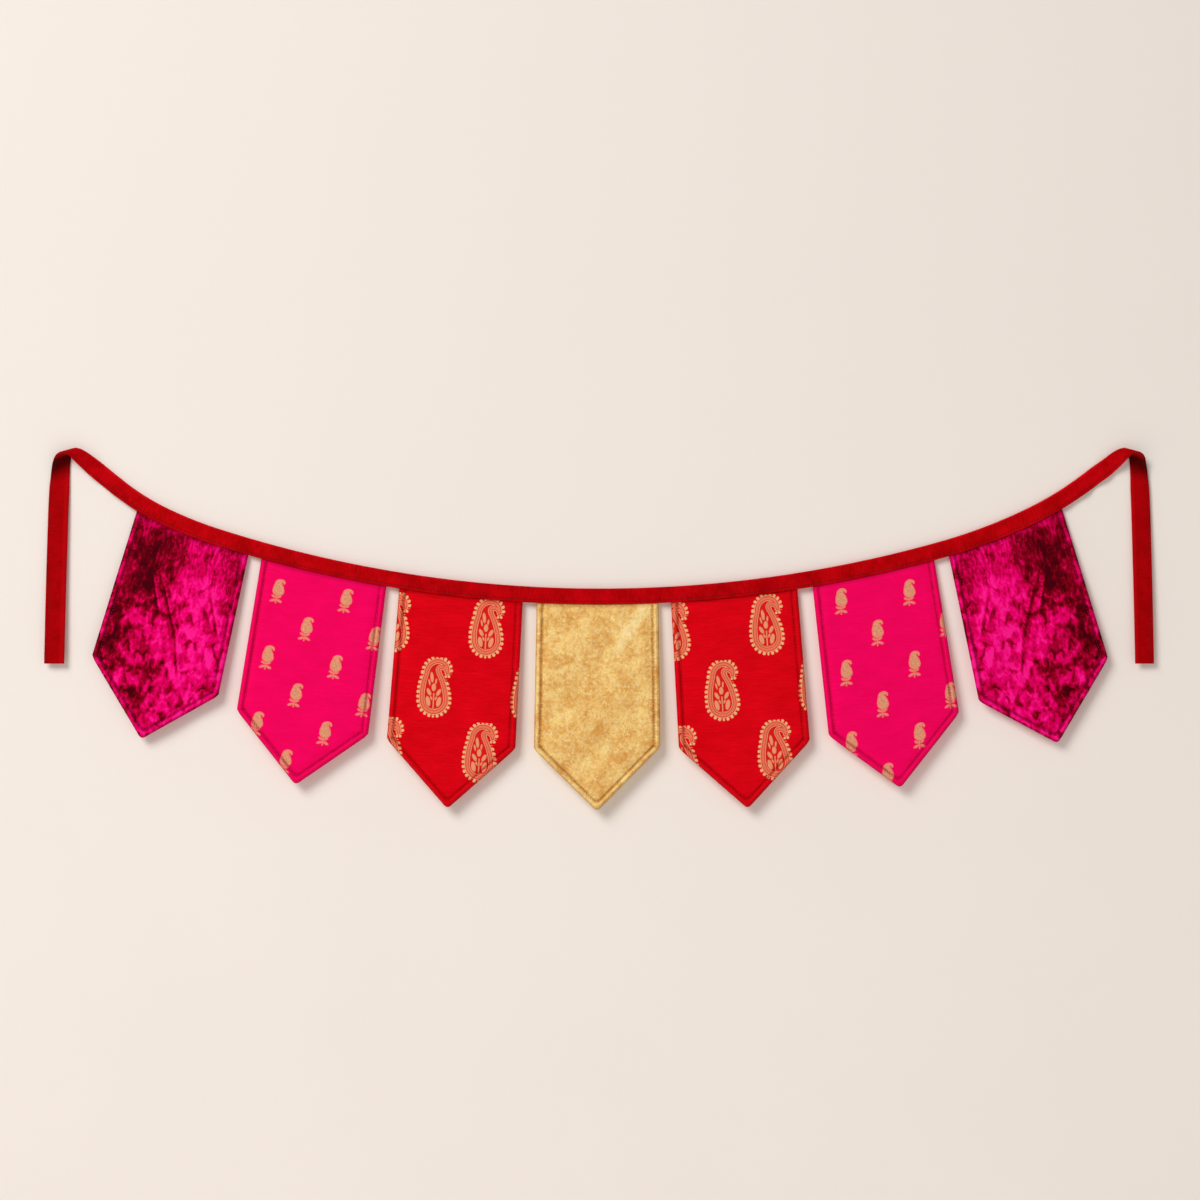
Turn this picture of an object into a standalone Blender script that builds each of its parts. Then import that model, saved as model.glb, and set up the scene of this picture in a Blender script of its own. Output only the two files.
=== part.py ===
"""A door toran: seven pointed cloth panels bound along a curved tape that ends in two ties.

The hanging stands upright in the XZ plane. +X is to the viewer's right, +Z is up and the
front faces -Y. The origin is on the tape's top edge, at the middle of its curve.

Each panel is bagged out of two layers, so its edge is a soft roll with a stitched channel
inside it. The tape is folded over the panels' heads: the heads sit in pockets that are open
below. At each end the tape runs on as a tie, which folds over and hangs behind itself.
"""

import math
from collections import namedtuple

import bmesh
import bpy
import numpy as np

MM = 0.001

# Tape, in millimetres
MIDDLE_WIDTH = 16.2
END_WIDTH = 17.6
HEADING_THICKNESS = 3.6
TIE_THICKNESS = 2.0
SECTION_STEP = 16.0
TIE_STEPS_PER_ROW = 3
HEADING_END_X = 507.0
THINNING_SECTIONS = 3.0

# The tape's section. From the folded top edge downwards: distance from that edge, and the part
# of half the thickness there. Then the same from the sewn lower edge upwards.
TOP_FOLD = [(0.0, 0.0), (0.7, 0.75), (2.4, 1.0)]
LOW_EDGE = [(0.0, 0.5), (0.9, 1.0)]

# Panel heads inside the tape, in millimetres
HEAD_HEIGHT = 12.0
HEAD_THICKNESS = 1.0
HEAD_TAPER = 0.8
NECK_START = 0.5
NECK_LENGTH = 4.0
FIT_GAP = 0.3
POCKET_STATIONS = 9

# Panel edge, in millimetres: distance in from the edge, and half of the thickness there
Roll = namedtuple("Roll", "inset half_thickness")
EDGE_ROLL = [
    Roll(0.0, 0.0),
    Roll(0.7, 0.9),
    Roll(2.6, 1.5),
    Roll(5.8, 0.75),
    Roll(8.8, 1.15),
    Roll(30.0, 1.4),
]
BORDER_INSETS = [roll.inset for roll in EDGE_ROLL[:5]]
POINT_SLOPE = math.radians(43)
SHOULDER_RADIUS = 4.0
SHOULDER_CUT = 0.45
TIP_RADIUS = 5.0
TIP_CUT = 0.5

# The tape's curve from the middle outwards: each stretch is an arc, in millimetres and degrees
Stretch = namedtuple("Stretch", "length turn")
CURVE_LEFT = [Stretch(399, 17.8), Stretch(58, 8.1), Stretch(52, 12.6), Stretch(36, 1.2)]
CURVE_RIGHT = [Stretch(356, 15.8), Stretch(95, 10.1), Stretch(66, 11.2), Stretch(28, 1.2)]

# A tie from the heading outwards, in millimetres. Each row is a section across the tape, from
# its inner edge to its outer edge: distance from the middle, depth (front is negative), height
Row = namedtuple("Row", "in_x in_y in_z out_x out_y out_z")
TIE_ROWS = [
    Row(515.0, -1.5, 130.7, 526.0, -1.5, 117.2),
    Row(526.3, -4.0, 139.2, 537.4, -5.0, 128.2),
    Row(533.5, -6.0, 143.4, 545.6, -8.8, 137.0),
    Row(537.4, -6.0, 144.4, 551.4, -11.5, 140.2),
    Row(539.9, -4.0, 144.2, 556.4, -11.0, 138.6),
    Row(542.2, -1.2, 142.2, 560.5, -7.6, 134.8),
    Row(544.4, 0.4, 137.1, 563.2, -4.0, 128.0),
    Row(545.8, 1.0, 129.4, 564.8, -1.4, 121.0),
    Row(546.5, 1.0, 117.4, 565.9, -0.2, 113.0),
    Row(546.8, 0.8, 101.6, 567.2, 0.3, 101.0),
    Row(547.9, 0.4, 70.7, 568.6, 0.6, 70.7),
    Row(550.2, 0.7, -4.0, 570.8, 0.2, -4.0),
    Row(552.0, 0.2, -77.2, 572.6, 0.8, -77.2),
]

# The right tail hangs a little closer in and is a little narrower than the left one
TAIL_TOP = 130.0
TAIL_DRIFT = {-1: 0.0, 1: -0.6}
TAIL_NARROWING = {-1: 0.0, 1: 1.4}
NARROWING_RUN = 12.0

# Panels, in millimetres and degrees. Sizes run from the middle of the head, where the tape's
# lower edge crosses it: the two sides there, the left and right shoulder, then the tip. A
# positive tilt swings the lower end to the left. Lifts are how far the cloth stands forward at
# its middle, its left shoulder, its right shoulder and its tip. A ripple is a soft slanting
# wave in the cloth: its height, and the angle of its crests. It rises below the neck and fades
# out towards the sides.
Panel = namedtuple(
    "Panel",
    "name cloth head_x tilt head_left head_right left_x left_z right_x right_z tip_x tip_z"
    " belly lift_left lift_right lift_tip ripple ripple_angle",
)
PANELS = [
    Panel("panel_1_velvet", "velvet", -419.8, 14.6, -62.7, 60.3,
          -69.0, 144.5, 67.3, 151.3, 1.4, 214.6, 2.5, 1.0, 3.0, 2.0, 0.7, -60.0),
    Panel("panel_2_pink", "pink_silk", -284.8, 8.2, -65.7, 65.8,
          -68.3, 151.5, 69.3, 157.5, 2.6, 218.9, 1.0, 1.5, 3.5, 3.0, 0.3, 70.0),
    Panel("panel_3_red", "red_silk", -143.4, 3.7, -63.9, 64.0,
          -66.4, 151.3, 66.3, 152.8, 0.3, 218.7, 1.5, 2.5, 1.0, 2.0, 0.4, -50.0),
    Panel("panel_4_gold", "gold_brocade", -2.6, 0.4, -62.7, 62.9,
          -64.4, 149.5, 65.7, 146.7, 1.0, 213.1, 2.0, 2.0, 2.5, 3.0, 0.7, 45.0),
    Panel("panel_5_red", "red_silk", 138.4, -3.8, -65.5, 65.5,
          -67.4, 151.7, 67.6, 152.7, -0.6, 218.1, 1.0, 1.5, 3.0, 2.5, 0.4, 60.0),
    Panel("panel_6_pink", "pink_silk", 281.4, -7.5, -63.4, 64.7,
          -67.2, 158.1, 69.0, 152.4, -1.2, 221.2, 1.5, 2.5, 2.0, 3.0, 0.3, -70.0),
    Panel("panel_7_velvet", "velvet", 418.8, -14.2, -62.4, 62.9,
          -69.7, 157.9, 70.1, 147.5, -1.5, 220.0, 2.5, 2.5, 1.5, 2.5, 0.7, 60.0),
]
RIPPLE_LENGTH = 62.0
RIPPLE_RISE = 1 / 6
RIPPLE_MARGIN = 1 / 3
RIPPLE_REACH = 1.05

# Edges sharper than this are shaded as edges
PANEL_SHARP = math.radians(60)
TAPE_SHARP = math.radians(50)

# Where a panel's grid has its columns and rows: parts of the way from the middle to a side,
# and parts of the way from the neck to the lower border, besides those along the edge roll
FREE_COLUMNS = [0.0, 0.3, 0.6]
BODY_ROWS = [0.0, 0.15, 0.31, 0.47, 0.63, 0.8, 1.0]
LOWER_BORDER = 16.0
SETTLE_PASSES = 6

# Finishes: base colour, roughness, metallic
Finish = namedtuple("Finish", "colour roughness metallic")
FINISHES = {
    "velvet": Finish((0.42, 0.01, 0.10), 0.75, 0.0),
    "pink_silk": Finish((0.85, 0.005, 0.11), 0.5, 0.0),
    "red_silk": Finish((0.62, 0.005, 0.01), 0.5, 0.0),
    "gold_brocade": Finish((0.72, 0.47, 0.17), 0.35, 0.3),
    "tape_crimson": Finish((0.40, 0.002, 0.005), 0.65, 0.0),
}


def smooth(value):
    """Ease from 0 to 1 with level ends."""
    value = np.clip(value, 0.0, 1.0)
    return value * value * (3.0 - 2.0 * value)


def curve_side(stretches, side):
    """Walk a chain of arcs outwards in 1 mm steps; return rows of x, z and direction."""
    x, z, angle = 0.0, 0.0, 0.0
    rows = [(x, z, angle)]
    for stretch in stretches:
        count = round(stretch.length)
        turn = math.radians(stretch.turn) / count
        length = stretch.length / count
        for _ in range(count):
            x += length * math.cos(angle + turn / 2)
            z += length * math.sin(angle + turn / 2)
            angle += turn
            rows.append((x, z, angle))
    rows = np.array(rows)
    return rows * np.array([side, 1.0, side])


def heading_curve():
    """The whole top edge of the heading from left to right: x, z and heading angle."""
    left = curve_side(CURVE_LEFT, -1)[::-1]
    right = curve_side(CURVE_RIGHT, 1)
    return np.vstack([left, right[1:]])


CURVE = heading_curve()
WIDTHS = MIDDLE_WIDTH + (END_WIDTH - MIDDLE_WIDTH) * (CURVE[:, 0] / CURVE[-1, 0]) ** 2


def tape_line(below):
    """Points x, z that lie this far below the tape's lower edge, square to it."""
    depth = WIDTHS + below
    x = CURVE[:, 0] + depth * np.sin(CURVE[:, 2])
    z = CURVE[:, 1] - depth * np.cos(CURVE[:, 2])
    return x, z


def below_tape(x, z):
    """How far each point lies below the tape's lower edge, square to the edge."""
    gap_x = x[:, None] - CURVE[None, :, 0]
    gap_z = z[:, None] - CURVE[None, :, 1]
    nearest = np.argmin(gap_x ** 2 + gap_z ** 2, axis=1)
    angle = CURVE[nearest, 2]
    row = np.arange(len(x))
    depth = gap_x[row, nearest] * np.sin(angle) - gap_z[row, nearest] * np.cos(angle)
    return depth - WIDTHS[nearest]


def collection(name):
    """A new collection in the scene."""
    made = bpy.data.collections.new(name)
    bpy.context.scene.collection.children.link(made)
    return made


def finish_material(name):
    """A plain material with this finish's colour, roughness and metallic value."""
    finish = FINISHES[name]
    material = bpy.data.materials.new(name)
    material.use_nodes = True
    shader = material.node_tree.nodes["Principled BSDF"]
    shader.inputs["Base Color"].default_value = (*finish.colour, 1.0)
    shader.inputs["Roughness"].default_value = finish.roughness
    shader.inputs["Metallic"].default_value = finish.metallic
    return material


def add_object(name, bm, target, material=None):
    """Put a bmesh in a new object of the target collection."""
    mesh = bpy.data.meshes.new(name)
    bm.normal_update()
    bm.to_mesh(mesh)
    bm.free()
    made = bpy.data.objects.new(name, mesh)
    target.objects.link(made)
    if material:
        mesh.materials.append(material)
    return made


def warped_grid(points):
    """A grid primitive whose corners are moved to an array of points, rows by columns by 3."""
    rows, columns = points.shape[:2]
    bm = bmesh.new()
    bmesh.ops.create_grid(bm, x_segments=columns - 1, y_segments=rows - 1, size=1.0)
    for vertex in bm.verts:
        column = round((vertex.co.x + 1.0) / 2.0 * (columns - 1))
        row = round((vertex.co.y + 1.0) / 2.0 * (rows - 1))
        vertex.co = points[row, column]
    return bm


class PanelShape:
    """Where a panel's cloth lies, in the panel's own frame with its head at the origin."""

    def __init__(self, panel):
        self.panel = panel
        self.tilt = math.radians(panel.tilt)
        edge_x, edge_z = tape_line(0.0)
        self.origin_x = panel.head_x
        self.origin_z = float(np.interp(panel.head_x, edge_x, edge_z))

    def to_world(self, x, z):
        """World x and z of points in the panel's frame."""
        world_x = self.origin_x + x * math.cos(self.tilt) + z * math.sin(self.tilt)
        world_z = self.origin_z - x * math.sin(self.tilt) + z * math.cos(self.tilt)
        return world_x, world_z

    def line_at(self, below, x):
        """Height in the panel's frame, at each x, of the line this far below the tape."""
        line_x, line_z = tape_line(below)
        line_x = line_x - self.origin_x
        line_z = line_z - self.origin_z
        local_x = line_x * math.cos(self.tilt) - line_z * math.sin(self.tilt)
        local_z = line_x * math.sin(self.tilt) + line_z * math.cos(self.tilt)
        return np.interp(x, local_x, local_z)

    def side_x(self, z, side):
        """The left (-1) or right (1) edge at a height; the edges are straight lines."""
        panel = self.panel
        if side < 0:
            head_x, foot_x, foot_z = panel.head_left, panel.left_x, -panel.left_z
        else:
            head_x, foot_x, foot_z = panel.head_right, panel.right_x, -panel.right_z
        return head_x + (foot_x - head_x) * z / foot_z

    def centre_x(self, z):
        """The middle line, from the head's middle to the tip."""
        return self.panel.tip_x * z / -self.panel.tip_z

    def lower_edge(self, x):
        """Height of the pointed lower edge: two straight runs with a round tip and shoulders."""
        panel = self.panel
        left = (x - panel.left_x) / (panel.tip_x - panel.left_x)
        right = (panel.right_x - x) / (panel.right_x - panel.tip_x)
        z_left = -panel.left_z + left * (panel.left_z - panel.tip_z)
        z_right = -panel.right_z + right * (panel.right_z - panel.tip_z)
        z = np.maximum(z_left, z_right)
        reach = TIP_RADIUS * math.sin(POINT_SLOPE)
        near_tip = np.clip(1.0 - np.abs(x - panel.tip_x) / reach, 0.0, 1.0)
        z = z + TIP_CUT * reach * near_tip ** 2
        for foot_x in (panel.left_x, panel.right_x):
            near = np.clip(1.0 - np.abs(x - foot_x) / SHOULDER_RADIUS, 0.0, 1.0)
            z = z + SHOULDER_CUT * SHOULDER_RADIUS * near ** 2
        return z

    def half_thickness(self, inset, below):
        """Half of the thickness from the insets from the free edge and from the tape."""
        insets = [roll.inset for roll in EDGE_ROLL]
        halves = [roll.half_thickness for roll in EDGE_ROLL]
        full = np.interp(inset, insets, halves)
        flat = np.minimum(full, HEAD_THICKNESS / 2)
        out = smooth(below / NECK_LENGTH)
        return flat + (full - flat) * out

    def bow(self, x, z):
        """How far the cloth stands forward of the tape's middle plane."""
        panel = self.panel
        down = np.clip(-(z + NECK_LENGTH) / panel.tip_z, 0.0, 1.0)
        over = x / panel.head_right
        lift = panel.lift_tip
        lift = lift + (panel.lift_right - lift) * np.clip(over, 0.0, 1.0) ** 2
        lift = lift + (panel.lift_left - lift) * np.clip(-over, 0.0, 1.0) ** 2
        crests = math.radians(panel.ripple_angle)
        across = x * math.sin(crests) - z * math.cos(crests)
        wave = panel.ripple * np.sin(2.0 * math.pi * across / RIPPLE_LENGTH)
        rise = smooth(down / RIPPLE_RISE)
        fade = smooth((RIPPLE_REACH - np.abs(over)) / RIPPLE_MARGIN)
        return panel.belly * np.sin(math.pi * down) + lift * down ** 2 + wave * rise * fade


def panel_points(shape):
    """The grid's places in the cloth: x and z, by rows from the head down and columns."""
    columns = [(-1, "border", inset) for inset in BORDER_INSETS]
    columns += [(-1, "free", part) for part in FREE_COLUMNS[::-1]]
    columns += [(1, "free", part) for part in FREE_COLUMNS[1:]]
    columns += [(1, "border", inset) for inset in BORDER_INSETS[::-1]]

    def column_x(z):
        x = np.empty(len(columns))
        for index, (side, kind, value) in enumerate(columns):
            edge = shape.side_x(z[index], side)
            middle = shape.centre_x(z[index])
            if kind == "border":
                x[index] = edge - side * value
            else:
                x[index] = middle + (edge - middle) * value
        return x

    def settle(height_at):
        z = np.zeros(len(columns))
        for _ in range(SETTLE_PASSES):
            x = column_x(z)
            z = height_at(x)
        return column_x(z), z

    square = math.cos(POINT_SLOPE)
    rows = []
    for below in (-HEAD_HEIGHT, HEAD_TAPER - HEAD_HEIGHT, -NECK_START):
        rows.append(settle(lambda x, below=below: shape.line_at(below, x)))
    for part in BODY_ROWS:
        def height(x, part=part):
            high = shape.line_at(NECK_LENGTH, x)
            low = shape.lower_edge(x) + LOWER_BORDER / square
            return high + (low - high) * part
        rows.append(settle(height))
    for inset in BORDER_INSETS[::-1]:
        rows.append(settle(lambda x, inset=inset: shape.lower_edge(x) + inset / square))
    grid = np.array([[x, z] for x, z in rows])
    return grid[:, 0], grid[:, 1]


def make_panel(panel, target, material):
    """One bagged-out panel: a warped grid for the front, mirrored for the back, then bowed."""
    shape = PanelShape(panel)
    x, z = panel_points(shape)
    world_x, world_z = shape.to_world(x, z)
    below = below_tape(world_x.ravel(), world_z.ravel()).reshape(x.shape)
    side_inset = np.minimum(x - shape.side_x(z, -1), shape.side_x(z, 1) - x)
    low_inset = (z - shape.lower_edge(x)) * math.cos(POINT_SLOPE)
    inset = np.maximum(np.minimum(side_inset, low_inset), 0.0)
    half = shape.half_thickness(inset, below)
    half[0, :] = 0.0
    half[-1, :] = 0.0
    half[:, 0] = 0.0
    half[:, -1] = 0.0
    bm = warped_grid(np.stack([x, -half, z], axis=-1) * MM)
    bmesh.ops.mirror(bm, geom=bm.verts[:] + bm.edges[:] + bm.faces[:], axis="Y", merge_dist=1e-6)
    for vertex in bm.verts:
        vertex.co.y -= shape.bow(vertex.co.x / MM, vertex.co.z / MM) * MM
    bmesh.ops.recalc_face_normals(bm, faces=bm.faces)
    made = add_object(panel.name, bm, target, material)
    made.location = (shape.origin_x * MM, 0.0, shape.origin_z * MM)
    made.rotation_euler = (0.0, shape.tilt, 0.0)
    made.data.shade_smooth()
    made.data.set_sharp_from_angle(angle=PANEL_SHARP)
    return made


def make_pocket(panel, target):
    """The cutter for a panel head: its outline in the tape and the gap around it."""
    shape = PanelShape(panel)
    stations = np.linspace(-1.0, 1.0, POCKET_STATIONS)
    rows = []
    for below in (-HEAD_HEIGHT - FIT_GAP, NECK_LENGTH):
        z = np.zeros(len(stations))
        for _ in range(SETTLE_PASSES):
            left = shape.side_x(z, -1) - FIT_GAP
            right = shape.side_x(z, 1) + FIT_GAP
            x = left + (right - left) * (stations + 1.0) / 2.0
            z = shape.line_at(below, x)
        rows.append(np.stack([x, np.zeros(len(x)), z], axis=-1))
    bm = warped_grid(np.array(rows) * MM)
    made = add_object("pocket_" + panel.name, bm, target)
    made.location = (shape.origin_x * MM, 0.0, shape.origin_z * MM)
    made.rotation_euler = (0.0, shape.tilt, 0.0)
    solid = made.modifiers.new("pocket", "SOLIDIFY")
    solid.thickness = (HEAD_THICKNESS + 2 * FIT_GAP) * MM
    solid.offset = 0.0
    made.display_type = "WIRE"
    made.hide_render = True
    return made


def heading_sections():
    """Inner and outer edge points of the heading, as equal steps along its curve up to the first
    rows of the ties."""
    free = np.flatnonzero(np.abs(CURVE[:, 0]) < HEADING_END_X)
    count = round(len(free) / SECTION_STEP)
    picks = np.linspace(free[0], free[-1], count).round().astype(int)
    edge_x, edge_z = tape_line(0.0)
    flat = np.zeros(len(picks))
    inner = np.stack([CURVE[picks, 0], flat, CURVE[picks, 1]], axis=-1)
    outer = np.stack([edge_x[picks], flat, edge_z[picks]], axis=-1)
    return np.hstack([inner, outer])


def past_crest(rows):
    """0 on the rows before the tie's highest point, easing to 1 down its tail."""
    crest = int(np.argmax(rows[:, 5]))
    fallen = (rows[crest, 5] - rows[:, 5]) / NARROWING_RUN
    return np.where(np.arange(len(rows)) > crest, smooth(fallen), 0.0)


def tie_sections(side, first):
    """A smooth run of sections through a tie's rows, from the heading outwards."""
    rows = np.array(TIE_ROWS, dtype=float)
    fall = np.clip((TAIL_TOP - rows[:, 2]) / (TAIL_TOP - rows[-1, 2]), 0.0, 1.0)
    rows[:, 0] += TAIL_DRIFT[side] * fall
    rows[:, 3] += TAIL_DRIFT[side] * fall
    rows[:, 3] -= TAIL_NARROWING[side] * past_crest(rows)
    rows[:, 0] *= side
    rows[:, 3] *= side
    knots = np.vstack([first, rows, 2 * rows[-1] - rows[-2]])
    sections = []
    for index in range(1, len(knots) - 2):
        before, start, end, after = knots[index - 1:index + 3]
        for step in range(TIE_STEPS_PER_ROW):
            t = step / TIE_STEPS_PER_ROW
            cubic = (2 * start + (end - before) * t
                     + (2 * before - 5 * start + 4 * end - after) * t ** 2
                     + (3 * start - before - 3 * end + after) * t ** 3) / 2
            sections.append(cubic)
    sections.append(knots[-2])
    return np.array(sections)


def tape_ring(inner, outer, along, half):
    """One section around the tape, from its folded edge over the front and back again."""
    across = outer - inner
    width = np.linalg.norm(across)
    across = across / width
    normal = np.cross(along, across)
    normal = normal / np.linalg.norm(normal)
    front = TOP_FOLD + [(width - up, share) for up, share in LOW_EDGE[::-1]]
    back = [(place, -share) for place, share in front[:0:-1]]
    return [inner + across * place + normal * half * share for place, share in front + back]


def make_tape(pockets, target, material):
    """The folded binding with both ties, lofted through its sections and cut for the heads."""
    heading = heading_sections()
    right = tie_sections(1, heading[-1:])
    left = tie_sections(-1, heading[:1])[::-1]
    sections = np.vstack([left, heading, right])
    middles = (sections[:, :3] + sections[:, 3:]) / 2
    along = np.gradient(middles, axis=0)
    run = np.minimum(np.arange(len(sections)), np.arange(len(sections))[::-1])
    thin = TIE_THICKNESS / 2
    thick = HEADING_THICKNESS / 2
    first = len(left)
    halves = thin + (thick - thin) * smooth((run - first + 2) / THINNING_SECTIONS)
    bm = bmesh.new()
    rings = []
    for section, direction, half in zip(sections, along, halves):
        ring = tape_ring(section[:3], section[3:], direction, half)
        rings.append([bm.verts.new(point * MM) for point in ring])
    for ring, following in zip(rings[:-1], rings[1:]):
        for index in range(len(ring)):
            after = (index + 1) % len(ring)
            bm.faces.new((ring[index], ring[after], following[after], following[index]))
    bm.faces.new(rings[0])
    bm.faces.new(rings[-1])
    bmesh.ops.recalc_face_normals(bm, faces=bm.faces)
    made = add_object("binding_tape", bm, target, material)
    for pocket in pockets:
        cut = made.modifiers.new(pocket.name, "BOOLEAN")
        cut.operation = "DIFFERENCE"
        cut.solver = "EXACT"
        cut.object = pocket
    made.data.shade_smooth()
    made.data.set_sharp_from_angle(angle=TAPE_SHARP)
    return made


def main():
    """Clear the scene, then build the panels and the tape that holds them."""
    for old in list(bpy.data.objects):
        bpy.data.objects.remove(old, do_unlink=True)
    toran = collection("toran")
    cutters = collection("cutters")
    root = bpy.data.objects.new("toran_root", None)
    toran.objects.link(root)
    materials = {name: finish_material(name) for name in FINISHES}
    pockets = [make_pocket(panel, cutters) for panel in PANELS]
    pieces = [make_panel(panel, toran, materials[panel.cloth]) for panel in PANELS]
    pieces.append(make_tape(pockets, toran, materials["tape_crimson"]))
    for piece in pieces:
        piece.parent = root


main()
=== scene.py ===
# %% [markdown]
# # A cloth toran for a doorway
#
# A toran is a festive hanging for a door. This one has seven pointed panels of velvet, silk and
# brocade. Their heads are sewn into a folded tape, and the tape runs on at both ends as ties.
#
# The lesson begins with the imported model. Its plain solids give every size and place, and they
# stay underneath for the physics. Each cloth that is made below replaces one of them.

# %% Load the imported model
import math
from collections import namedtuple

import bpy
import numpy as np
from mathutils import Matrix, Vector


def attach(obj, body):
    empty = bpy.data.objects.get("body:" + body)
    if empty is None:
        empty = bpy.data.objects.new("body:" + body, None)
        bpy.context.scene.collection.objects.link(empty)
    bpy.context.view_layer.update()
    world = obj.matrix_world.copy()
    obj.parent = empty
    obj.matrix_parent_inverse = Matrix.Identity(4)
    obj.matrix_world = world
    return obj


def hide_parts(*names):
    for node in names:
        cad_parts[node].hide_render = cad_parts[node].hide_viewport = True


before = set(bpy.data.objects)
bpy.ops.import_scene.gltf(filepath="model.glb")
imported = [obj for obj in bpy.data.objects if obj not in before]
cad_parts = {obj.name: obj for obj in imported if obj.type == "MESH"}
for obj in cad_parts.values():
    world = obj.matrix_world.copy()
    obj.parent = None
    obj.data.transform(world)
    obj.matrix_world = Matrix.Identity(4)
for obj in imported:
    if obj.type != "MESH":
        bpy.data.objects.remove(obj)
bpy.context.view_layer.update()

MM = 0.001
print("solids to dress:", ", ".join(sorted(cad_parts)))

# %% [markdown]
# ## The curve of the tape
#
# The tape hangs in a shallow swag that gets steeper towards its ends. A curve of this kind could
# be drawn by hand with a Bezier. Here it is a chain of arcs, because an arc has only a length and
# a turn, and both can be read off a picture with a ruler. The direction grows evenly along each
# arc, and the place is the running sum of small steps in that direction.

# %% The tape's top edge
Arc = namedtuple("Arc", "length turn")
CURVE_LEFT = [Arc(399, 17.8), Arc(58, 8.1), Arc(52, 12.6), Arc(36, 1.2)]
CURVE_RIGHT = [Arc(356, 15.8), Arc(95, 10.1), Arc(66, 11.2), Arc(28, 1.2)]
MIDDLE_WIDTH = 16.2
END_WIDTH = 17.6


def curve_side(arcs, side):
    """Rows of x, z and angle in 1 mm steps: the angle is read off the arcs at each step, and x
    and z are the running sums of its cosine and sine."""
    lengths = np.cumsum([0.0] + [arc.length for arc in arcs])
    turns = np.cumsum([0.0] + [math.radians(arc.turn) for arc in arcs])
    angle = np.interp(np.arange(lengths[-1] + 1.0), lengths, turns)
    halfway = (angle[:-1] + angle[1:]) / 2
    x = np.concatenate([[0.0], np.cumsum(np.cos(halfway))])
    z = np.concatenate([[0.0], np.cumsum(np.sin(halfway))])
    return np.stack([side * x, z, side * angle], axis=1)


CURVE = np.vstack([curve_side(CURVE_LEFT, -1)[::-1], curve_side(CURVE_RIGHT, 1)[1:]])
WIDTHS = MIDDLE_WIDTH + (END_WIDTH - MIDDLE_WIDTH) * (CURVE[:, 0] / CURVE[-1, 0]) ** 2


def lower_line():
    """Points x, z of the tape's lower edge, one width from its top edge and square to it."""
    x = CURVE[:, 0] + WIDTHS * np.sin(CURVE[:, 2])
    z = CURVE[:, 1] - WIDTHS * np.cos(CURVE[:, 2])
    return x, z


print("the heading is", len(CURVE) - 1, "mm long on the curve")

# %% [markdown]
# ## The panels' sizes
#
# Every panel is a pennant: two nearly straight sides and a pointed lower edge. No two are quite
# alike, as always with hand-cut cloth, so each has its own row of numbers in millimetres. They
# run from the middle of the head, where the tape's lower edge crosses it. A positive tilt swings
# the lower end to the left. The belly and the lifts say how far the cloth stands forward at its
# middle, its shoulders and its tip, and the ripple has a height and the angle of its crests. The
# weave numbers say where the pattern starts, how it leans and stretches, and whether it is mirrored.

# %% The table of panels
Weave = namedtuple("Weave", "start_x start_z lean stretch side")
Panel = namedtuple(
    "Panel",
    "name node slot head_x tilt head_left head_right left_x left_z right_x right_z tip_x tip_z"
    " belly lift_left lift_right lift_tip ripple ripple_angle weave",
)
PANELS = [
    Panel("cloth_1_velvet", "panel_1_velvet", "velvet", -419.8, 14.6, -62.7, 60.3,
          -69.0, 144.5, 67.3, 151.3, 1.4, 214.6, 2.5, 1.0, 3.0, 2.0, 0.7, -60.0,
          Weave(0.0, 0.0, 0.0, 1.0, 1)),
    Panel("cloth_2_pink", "panel_2_pink", "pink_silk", -284.8, 8.2, -65.7, 65.8,
          -68.3, 151.5, 69.3, 157.5, 2.6, 218.9, 1.0, 1.5, 3.5, 3.0, 0.3, 70.0,
          Weave(-43.4, -24.6, 0.015, 1.015, 1)),
    Panel("cloth_3_red", "panel_3_red", "red_silk", -143.4, 3.7, -63.9, 64.0,
          -66.4, 151.3, 66.3, 152.8, 0.3, 218.7, 1.5, 2.5, 1.0, 2.0, 0.4, -50.0,
          Weave(28.3, -31.6, -0.01, 1.0, 1)),
    Panel("cloth_4_gold", "panel_4_gold", "gold_brocade", -2.6, 0.4, -62.7, 62.9,
          -64.4, 149.5, 65.7, 146.7, 1.0, 213.1, 2.0, 2.0, 2.5, 3.0, 0.7, 45.0,
          Weave(0.0, 0.0, 0.0, 1.0, 1)),
    Panel("cloth_5_red", "panel_5_red", "red_silk", 138.4, -3.8, -65.5, 65.5,
          -67.4, 151.7, 67.6, 152.7, -0.6, 218.1, 1.0, 1.5, 3.0, 2.5, 0.4, 60.0,
          Weave(30.4, -31.6, 0.0, 0.995, 1)),
    Panel("cloth_6_pink", "panel_6_pink", "pink_silk", 281.4, -7.5, -63.4, 64.7,
          -67.2, 158.1, 69.0, 152.4, -1.2, 221.2, 1.5, 2.5, 2.0, 3.0, 0.3, -70.0,
          Weave(-36.3, -23.4, 0.06, 0.95, 1)),
    Panel("cloth_7_velvet", "panel_7_velvet", "velvet", 418.8, -14.2, -62.4, 62.9,
          -69.7, 157.9, 70.1, 147.5, -1.5, 220.0, 2.5, 2.5, 1.5, 2.5, 0.7, 60.0,
          Weave(0.0, 0.0, 0.0, 1.0, -1)),
]
RIPPLE_LENGTH = 62.0
POINT_SLOPE = math.radians(43)
TIP_RADIUS = 5.0
TIP_CUT = 0.5
SHOULDER_RADIUS = 4.0
SHOULDER_CUT = 0.45
print(len(PANELS), "panels")

# %% [markdown]
# ## The outline of a panel
#
# The outline could be traced as a polygon and filled. A grid is better for cloth: it gives every
# point two parameters, across and down, and the weave, the border and the folds can then follow
# them. So the outline is kept as three functions: the two sides and the pointed lower edge.


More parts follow.
